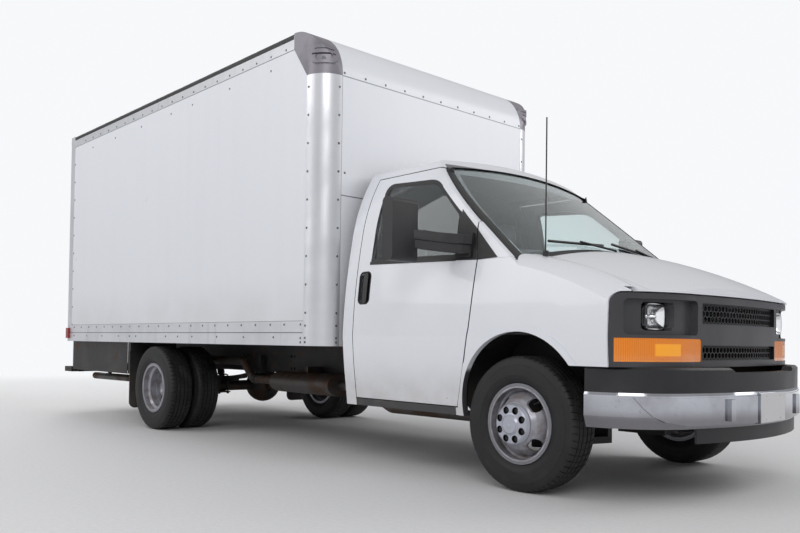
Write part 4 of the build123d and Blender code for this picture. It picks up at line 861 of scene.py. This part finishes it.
# Door handles: black moulded pockets let into the door skins from outside, each with a raised rim round it
# and a lock barrel under the pull.
black_plastic = Finish("black_plastic")
bleach = black_plastic.patches(3.0, 4.0, 0.40, 0.75)
black_plastic.tone(bleach, (0.014, 0.014, 0.016), (0.032, 0.031, 0.034), roughness=bleach * 0.15 + 0.42)
black_plastic.grain(900.0, 2.0, 0.0003, 0.35)
rim_path = []
for c, s in circle(48):
    x = math.copysign(pocket_half - pocket_corner, c) + pocket_corner * c
    z = math.copysign(pocket_tall - pocket_corner, s) + pocket_corner * s
    rim_path.append((pocket_x + x, pocket_z + z))
rim_section = [(0.005, -0.001), (0.005, 0.0015), (0.002, 0.0030), (-0.002, 0.0015), (-0.002, -0.004)]
lock = [(0.009, 0.0), (0.009, 0.010), (0.0075, 0.0115), (0.001, 0.0115)]
lock_z = 1.082
for side, hand in hands:
    path = [(x, side * door_skin(z), z) for x, z in rim_path]
    surround = Stock().sweep(path, handed(rim_section, side), [(0, side, 0.12)] * len(path), closed=True)
    surround.turned((pocket_x, side * (door_skin(lock_z) - 0.022), lock_z), (0, side, 0), lock)
    fit(f"handle_rim_{hand}", surround, black_plastic, f"door_{hand}")

# Mirrors: black moulded heads on tubular steel arms from the door, sleeved in plastic. A tall flat
# glass stands over a smaller one in each head.
dress(black_plastic, "mirror_left", "mirror_right", "cowl", "wipers", "antenna")
silvered = Finish("mirror_glass")
haze = silvered.patches(8.0, 6.0, 0.50, 0.75)
silvered.tone(haze, (0.86, 0.88, 0.90), (0.72, 0.74, 0.76), metallic=1.0)
silvered.set(roughness=haze * 0.08 + 0.02)
half_sleeve = [(0.017, -0.022), (0.020, -0.019), (0.020, 0.028), (0.027, 0.032), (0.027, 0.080),
               (0.022, 0.088)]
sleeve = [(-0.017, -0.022)] + half_sleeve + [(-across, out) for across, out in half_sleeve[:0:-1]]
arm_route = [(-0.404, 0.952, 1.348), (-0.416, 0.985, 1.351), (-0.452, 1.004, 1.356), (-0.530, 1.052, 1.367),
             (-0.668, 1.180, 1.390)]
for side, hand in hands:
    path = [at(x, side * y, z) for x, y, z in arm_route]
    sections = [[(across * flare, out) for across, out in sleeve] for flare in (2.3, 2.1, 1.4, 1.0, 1.0)]
    arm = Stock().sweep(path, sections, [(0, 0, 1)] * len(path))
    fit(f"mirror_arm_{hand}", arm, black_plastic, f"door_{hand}")
    panes = Stock()
    for z0, z1 in ((1.2945, 1.3895), (1.4005, 1.6355)):
        low_y, high_y = sorted((side * 1.1545, side * 1.3255))
        panes.slab(at(-0.7105, low_y, z0), at(-0.7065, high_y, z1), 0.0015)
    fit(f"mirror_panes_{hand}", panes, silvered, f"door_{hand}")

# Front moulding: one dark grey plastic moulding, clipped to the front panel, carries the lamps and two
# honeycomb meshes, which are blacker than the frame round them. A dark sheet hangs behind the lower mesh.
moulding = Finish("front_moulding")
across_y, up_z = abs(moulding.axis("Y")), moulding.axis("Z")
upper_mesh = moulding.mask(up_z, 0.921, 0.925) * moulding.mask(up_z, 1.034, 1.030)
lower_mesh = moulding.mask(up_z, 0.731, 0.735) * moulding.mask(up_z, 0.816, 0.812)
mesh_area = (upper_mesh + lower_mesh) * moulding.mask(across_y, 0.446, 0.440)
chalk = moulding.patches(4.0, 4.0, 0.40, 0.70)
frame_grey = moulding.blend(chalk, (0.045, 0.045, 0.050), (0.062, 0.061, 0.066))
moulding.tone(mesh_area * 0.9, frame_grey, (0.010, 0.010, 0.011), roughness=0.36)
moulding.grain(700.0, 2.0, 0.0002, 0.3)
dress(moulding, "grille")
baffle = Stock().slab(at(0.590, -0.900, 0.560), at(0.594, 0.900, 0.735), 0.001)
fit("grille_baffle", baffle, flap, "truck")

# Headlamps: a fluted clear lens bonded over a silvered bowl, with a capped bulb in the middle of each. They
# drop into the moulding's sockets from the front.
lens_clear = Finish("lamp_clear")
flutes = lens_clear.waves("Y", 26.0)
pitted = lens_clear.patches(120.0, 3.0, 0.62, 0.70)
lens_clear.set(base_color=(0.94, 0.95, 0.96), roughness=pitted * 0.15 + 0.02)
lens_clear.set(transmission_weight=1.0, ior=1.18)
lens_clear.bump(flutes, 0.0010, 0.35)
dress(lens_clear, "headlamps")
silver = Finish("reflector_silver")
tarnish = silver.patches(12.0, 5.0, 0.50, 0.75)
silver.tone(tarnish, (0.90, 0.90, 0.91), (0.70, 0.70, 0.70), metallic=1.0, roughness=0.14)
lamp_y, lamp_z = -0.720, 0.955
bowl_steps = [(0.6570, 0.094, 0.065), (0.6845, 0.094, 0.065), (0.6845, 0.090, 0.061), (0.6720, 0.072, 0.049),
              (0.6640, 0.048, 0.033), (0.6615, 0.022, 0.016)]
lamp_outline = squared(48, 0.4, 0.4)
rings = []
for x, half_y, half_z in bowl_steps:
    rings.append([at(x, lamp_y + u * half_y, lamp_z + v * half_z) for u, v in lamp_outline])
bowls = Stock().loft(rings)
bulb = [(0.012, 0.0), (0.012, 0.008), (0.009, 0.010), (0.009, 0.020), (0.006, 0.024), (0.001, 0.025)]
bowls.turned(at(0.6615, lamp_y, lamp_z), (1, 0, 0), bulb)
fit("headlamp_bowls", bowls.both_sides(), silver, "truck")

# Turn lamps: amber plastic lenses screwed in under the headlamps, ribbed at the ends and plain in the middle,
# where the bulb's bright window shows.
amber = Finish("lamp_amber")
ribs = amber.waves("Y", 34.0)
off_bulb = abs(abs(amber.axis("Y")) - 0.700)
window = amber.mask(off_bulb, 0.085, 0.075) * amber.mask(abs(amber.axis("Z") - 0.786), 0.034, 0.026)
amber_base = amber.blend(ribs * 0.7, (0.88, 0.26, 0.002), (0.66, 0.15, 0.001))
amber.tone(window, amber_base, (0.95, 0.38, 0.01), roughness=0.16, coat_weight=0.8)
amber.set(emission_strength=0.25, emission_color=amber.blend(window, (0.36, 0.09, 0.0), (0.80, 0.28, 0.0)))
amber.bump(ribs * (1 - window), 0.0015, 0.5)
dress(amber, "turn_lamps")

# Bumper: a pressed steel bar in chrome plate, bolted to the frame's ends, with water spots and a bare number
# plate painted pale on its boss. A black impact pad lies over it and a plastic valance hangs under it.
chrome = Finish("chrome_plate")
spots = chrome.patches(70.0, 5.0, 0.60, 0.68)
film_haze = chrome.patches(5.0, 6.0, 0.45, 0.75)
blank_x = chrome.fade("X", front_axle + 0.9780, front_axle + 0.9786)
blank_y = chrome.mask(abs(chrome.axis("Y")), 0.1525, 0.1515)
blank_z = chrome.mask(abs(chrome.axis("Z") - 0.485), 0.0765, 0.0755)
blank = blank_x * blank_y * blank_z
plate_colour = chrome.blend(film_haze, (0.46, 0.47, 0.51), (0.36, 0.36, 0.39))
# The chrome is darker towards the bottom of the bar.
low_darkening = chrome.fade("Z", 0.500, 0.430) * 0.75
plate_colour = chrome.blend(low_darkening, plate_colour, (0.20, 0.19, 0.20))
chrome.tone(blank, plate_colour, (0.60, 0.59, 0.60), metallic=1 - blank)
chrome.set(roughness=film_haze * 0.10 + spots * 0.12 + blank * 0.35 + 0.06)
dress(chrome, "front_bumper")
dress(black_plastic, "bumper_pad", "front_valance")

# Load space sides, front wall and nose: white gel-coated sheet riveted to the rails and posts over sealant,
# a little wavy, with rain streaks and road film low down.
panel_white = Finish("panel_white")
streaks = panel_white.noise(1.0, 3.0, panel_white.stretched(9.0, 9.0, 0.5))
road_film = panel_white.fade("Z", 1.35, 0.95) * panel_white.noise(3.0, 5.0)
clouds = panel_white.patches(0.6, 1.0, 0.30, 0.70)
streaks = panel_white.mask(streaks, 0.45, 0.75)
sheet = panel_white.blend(streaks * 0.6, (0.770, 0.785, 0.830), (0.752, 0.766, 0.810))
sheet = panel_white.blend(clouds * 0.5, sheet, (0.785, 0.797, 0.838))
sheet = panel_white.blend(road_film * 0.5, sheet, (0.52, 0.50, 0.48))
post_edge_x, post_edge_y = front_axle - 1.758, 0.968
bottom_rail_top, top_rail_foot, wall_seam, nose_seam = 0.945, 2.879, 1.821, 2.655


def seam(distance):
    """The dark line of sealant where two sheets meet, from the distance to it."""
    return panel_white.mask(abs(distance), 0.0050, 0.0030)


along, aside, height = (panel_white.axis(letter) for letter in "XYZ")
on_front = panel_white.mask(along, front_axle - 1.700, front_axle - 1.690)
side_seams = seam(along - post_edge_x) + seam(height - top_rail_foot) + seam(height - bottom_rail_top)
front_seams = seam(height - nose_seam) + seam(height - wall_seam) + seam(abs(aside) - post_edge_y)
seams = side_seams * (1 - on_front) + front_seams * on_front
panel_white.tone(seams * 0.75, sheet, (0.12, 0.12, 0.14))
panel_white.set(roughness=panel_white.noise(2.0, 1.0) * 0.06 + 0.26)
panel_white.grain(1.2, 2.0, 0.003, 0.20)
dress(panel_white, "box_sides", "box_front_wall", "nose_cap")

# Deck: laminated hardwood boards laid along the load space and screwed to the cross sills, scuffed pale where
# loads slide.
deck = Finish("deck_boards")
board = deck.waves("Y", 3.5, 0.4)
grain = deck.noise(1.0, 6.0, deck.stretched(1.5, 60.0, 60.0))
scraped = deck.mask(deck.noise(5.0, 7.0, deck.stretched(0.3, 1.0, 1.0)), 0.52, 0.66)
wood = deck.ramp(grain, (0.3, (0.20, 0.135, 0.080)), (0.7, (0.38, 0.275, 0.170)))
deck.tone(scraped * 0.4, wood, (0.45, 0.37, 0.27), roughness=board * 0.1 + 0.5)
deck.bump(grain + board, 0.0010, 0.5)
dress(deck, "box_floor")

# Rails, posts, rear frame and roof skin: mill-finish aluminium, drawn lengthwise and riveted up, dulled by
# weather with salt bloom and rain runs. A groove along the bottom rail is a dark line of painted shade.
aluminium = Finish("rail_aluminium")
drawn = aluminium.noise(1.0, 6.0, aluminium.stretched(1.2, 60.0, 60.0))
bloom = aluminium.patches(2.2, 5.0, 0.40, 0.70)
runs = aluminium.mask(aluminium.noise(1.0, 5.0, aluminium.stretched(14.0, 14.0, 0.6)), 0.55, 0.70)
bare = aluminium.blend(bloom, (0.74, 0.75, 0.78), (0.63, 0.64, 0.67))
on_rail = aluminium.fade("X", front_axle - 1.760, front_axle - 1.765)
# The groove is painted as a dark line: painted shade inside the groove.
groove = aluminium.mask(abs(aluminium.axis("Z") - 0.865), 0.0045, 0.0025) * on_rail
bare = aluminium.blend(runs * 0.3, bare, (0.50, 0.50, 0.52))
aluminium.tone(groove * 0.8, bare, (0.10, 0.10, 0.11), metallic=0.6)
aluminium.set(roughness=bloom * 0.12 + 0.36)
aluminium.bump(drawn, 0.0002, 0.10)
dress(aluminium, "side_rails", "corner_posts", "rear_frame", "box_roof")

# Corner caps: aluminium castings riveted over the roof's front corners, pitted from the sand and stained.
# Each has a housing for a marker lamp, with a strip of black rubber over it that stands in as painted shade
# for a slot.
casting = Finish("cap_casting")
stain = casting.patches(5.0, 6.0, 0.42, 0.68)
casting.tone(stain, (0.26, 0.245, 0.28), (0.20, 0.19, 0.215), metallic=0.3)
casting.set(roughness=stain * 0.1 + 0.40)
casting.grain(120.0, 4.0, 0.0006, 0.4)
dress(casting, "corner_caps")
slot_section = [(-0.005, -0.001), (-0.005, 0.0015), (-0.003, 0.0025), (0.003, 0.0025), (0.005, 0.0015),
                (0.005, -0.001)]
slot_height, cap_reach, slot_steps = 2.790, 0.180, 11
# The black strips over the marker lamps are painted shade standing in for the slots.
slot_shade_strips = Stock()


def seat_on(point, inward, stand_off=0.20):
    """Where a line from a stand-off outside meets the truck, and the way that the surface faces there."""
    line = Vector(inward).normalized()
    start = Vector(point) - line * stand_off
    truck = bpy.context.evaluated_depsgraph_get()
    hit, spot, normal, *_ = bpy.context.scene.ray_cast(truck, start, line, distance=stand_off + 0.1)
    return (spot, normal if normal.dot(line) < 0 else -normal) if hit else (None, None)


for side in (1, -1):
    seats, normals = [], []
    centre = Vector((post_edge_x, side * post_edge_y, slot_height))
    for i in range(slot_steps):
        turn = math.radians(18 + i * 5.4)
        out = Vector((math.cos(turn), side * math.sin(turn), 0))
        spot, normal = seat_on(centre + out * cap_reach, -out)
        if spot is not None:
            seats.append(spot)
            normals.append(normal)
    slot_shade_strips.sweep(seats, slot_section, normals)
fit("marker_slots", slot_shade_strips, seal_rubber, "truck")

# Rivets and screws: steel-mandrel rivets in rows along every rail and post. Their dark grey is partly dirt
# and partly painted shade of the small shadows round them. Each sits on the surface that it holds.
rivet_steel = Finish("rivet_steel")
rivet_rust = rivet_steel.patches(30.0, 4.0, 0.50, 0.70)
# The rivets' dark grey is partly dirt and partly painted shade.
rivet_steel.tone(rivet_rust, (0.17, 0.17, 0.18), (0.15, 0.085, 0.050), metallic=0.6)
rivet_steel.set(roughness=rivet_rust * 0.2 + 0.42)
domed = [(0.0085, -0.0005), (0.0085, 0.0008), (0.0070, 0.0028), (0.0040, 0.0040), (0.0008, 0.0044)]
rivets = Stock()


def rivet(x, y, z, inward, profile=domed, stand_off=0.20):
    """Sets a rivet where a line from outside meets the truck, square to the surface there."""
    spot, normal = seat_on(at(x, y, z), inward, stand_off)
    if spot is not None:
        rivets.turned(spot, normal, profile, 10)


backward = (-1, 0, 0)
body_side, body_front = 1.143, -1.583
cap_screw = [(0.014, -0.001), (0.014, 0.003), (0.010, 0.005), (0.001, 0.006)]
post_heights = [2.570 - 0.196 * i for i in range(9)] + [0.914, 0.829, 0.800]
upper_row = [-5.967 + 0.200 * i for i in range(20)] + [-1.989, -1.789]
lower_row = [-5.969, -5.619, -5.220, -4.826, -4.574, -4.433, -3.825, -3.600, -3.345, -2.936, -2.534, -2.125]
side_rivets = [(-2.020 - 0.1965 * i, 2.898) for i in range(20)]
side_rivets += [(x, 2.795) for x in (-2.22, -2.81, -3.42, -3.81, -4.41, -5.00, -5.565)]
side_rivets += [(-1.737, z) for z in post_heights] + [(-6.040, 2.687 - 0.193 * i) for i in range(10)]
side_rivets += [(x, 0.922) for x in upper_row] + [(x, 0.832) for x in lower_row]
side_rivets += [(-1.788, 0.828), (-1.788, 0.798)]
for side in (1, -1):
    for x, z in side_rivets:
        rivet(x, side * body_side, z, (0, -side, 0))
    for z in post_heights:
        rivet(body_front, side * 0.990, z, backward, stand_off=0.03)
    rivet(body_front, side * 0.936, 1.980, backward, stand_off=0.03)
    rivet(-1.634, side * 1.092, 2.756, (-1, -side, 0), cap_screw)
for i in range(11):
    rivet(body_front, -0.949 + 0.1897 * i, 2.677, backward)
fit("rivets", rivets, rivet_steel, "truck", crease=60)


# Roof edge: a strip of black butyl tape that is pressed over the roof skin's rolled edge and keeps the joint
# with the top rail dry.
def roof_edge(radius, turns):
    """Points round the roof's rolled edge, in degrees up from its side."""
    angles = [math.radians(turn) for turn in turns]
    return [(-1.123 - radius * math.cos(a), 2.973 + radius * math.sin(a)) for a in angles]


tape_turns = (0, 15, 30, 45, 60)
tape_section = [(-1.1424, 2.950), (-1.1450, 2.951)]
tape_section += roof_edge(0.0220, tape_turns) + roof_edge(0.0194, tape_turns[::-1])
edge_tape = Stock().loft([[at(x, y, z) for y, z in tape_section] for x in (-6.050, -1.925)])
fit("roof_edge_tape", edge_tape.both_sides(), seal_rubber, "truck")

# Roll-up door: plywood slats faced in white enamel and hinged together, scuffed along the hinge lines, with a
# lever latch, hinges screwed over each joint and a rubber strip along the bottom.
slat_white = Finish("slat_white")
scuff = slat_white.mask(slat_white.noise(1.0, 6.0, slat_white.stretched(9.0, 5.0, 38.0)), 0.58, 0.66)
ply_grain = slat_white.noise(1.0, 4.0, slat_white.stretched(30.0, 2.0, 80.0))
slat_white.tone(scuff * 0.5, (0.77, 0.77, 0.77), (0.55, 0.54, 0.52), roughness=scuff * 0.2 + 0.34)
slat_white.bump(ply_grain, 0.0006, 0.4)
dress(slat_white, "rollup_door")
latch_x, latch_z, hinge_x = front_axle - 6.143, 1.010, front_axle - 6.122
door_foot, door_top, door_sections = 0.894, 2.763, 7
section_height = (door_top - door_foot) / door_sections
latch_boss = [(0.018, 0.0), (0.018, 0.006), (0.012, 0.009), (0.001, 0.009)]
latch_lever = [(latch_x - 0.007, 0.0, latch_z), (latch_x - 0.009, 0.020, latch_z - 0.025),
               (latch_x - 0.009, 0.075, latch_z - 0.035)]
hinge_screw = [(0.0055, 0.0), (0.004, 0.002), (0.001, 0.0024)]
fittings = Stock()
fittings.slab((latch_x - 0.0005, -0.085, 0.962), (latch_x + 0.0035, 0.085, 1.036), 0.001)
fittings.turned((latch_x, 0.0, latch_z), backward, latch_boss)
fittings.sweep(latch_lever, round_bar(0.005))
for joint in range(1, door_sections):
    z = door_foot + joint * section_height
    for y in (-0.98, -0.50, 0.0, 0.50, 0.98):
        low, high = (hinge_x - 0.0005, y - 0.030, z - 0.034), (hinge_x + 0.0025, y + 0.030, z - 0.006)
        fittings.slab(low, high, 0.0008)
        for dy in (-0.018, 0.018):
            fittings.turned((hinge_x, y + dy, z - 0.020), backward, hinge_screw, 8)
fit("door_fittings", fittings, rivet_steel, "truck")
sweep_strip = Stock().slab(at(-6.117, -1.030, 0.8955), at(-6.098, 1.030, 0.910), 0.003)
fit("door_bottom_strip", sweep_strip, seal_rubber, "truck")

# Lamps of the load space: moulded plastic lenses pushed into rubber grommets, amber at the front and red
# behind, with fine facets that spread the light.
lens_body = Finish("body_lamps")
forward = lens_body.fade("X", -0.5, 0.0)
facets = lens_body.waves("Z", 60.0)
red_lens = lens_body.blend(facets, (0.36, 0.010, 0.008), (0.22, 0.006, 0.005))
amber_lens = lens_body.blend(facets, (0.80, 0.26, 0.010), (0.60, 0.16, 0.006))
lens_body.tone(forward, red_lens, amber_lens, roughness=0.18, coat_weight=0.6)
lens_body.bump(facets, 0.0006, 0.4)
dress(lens_body, "body_lamps")
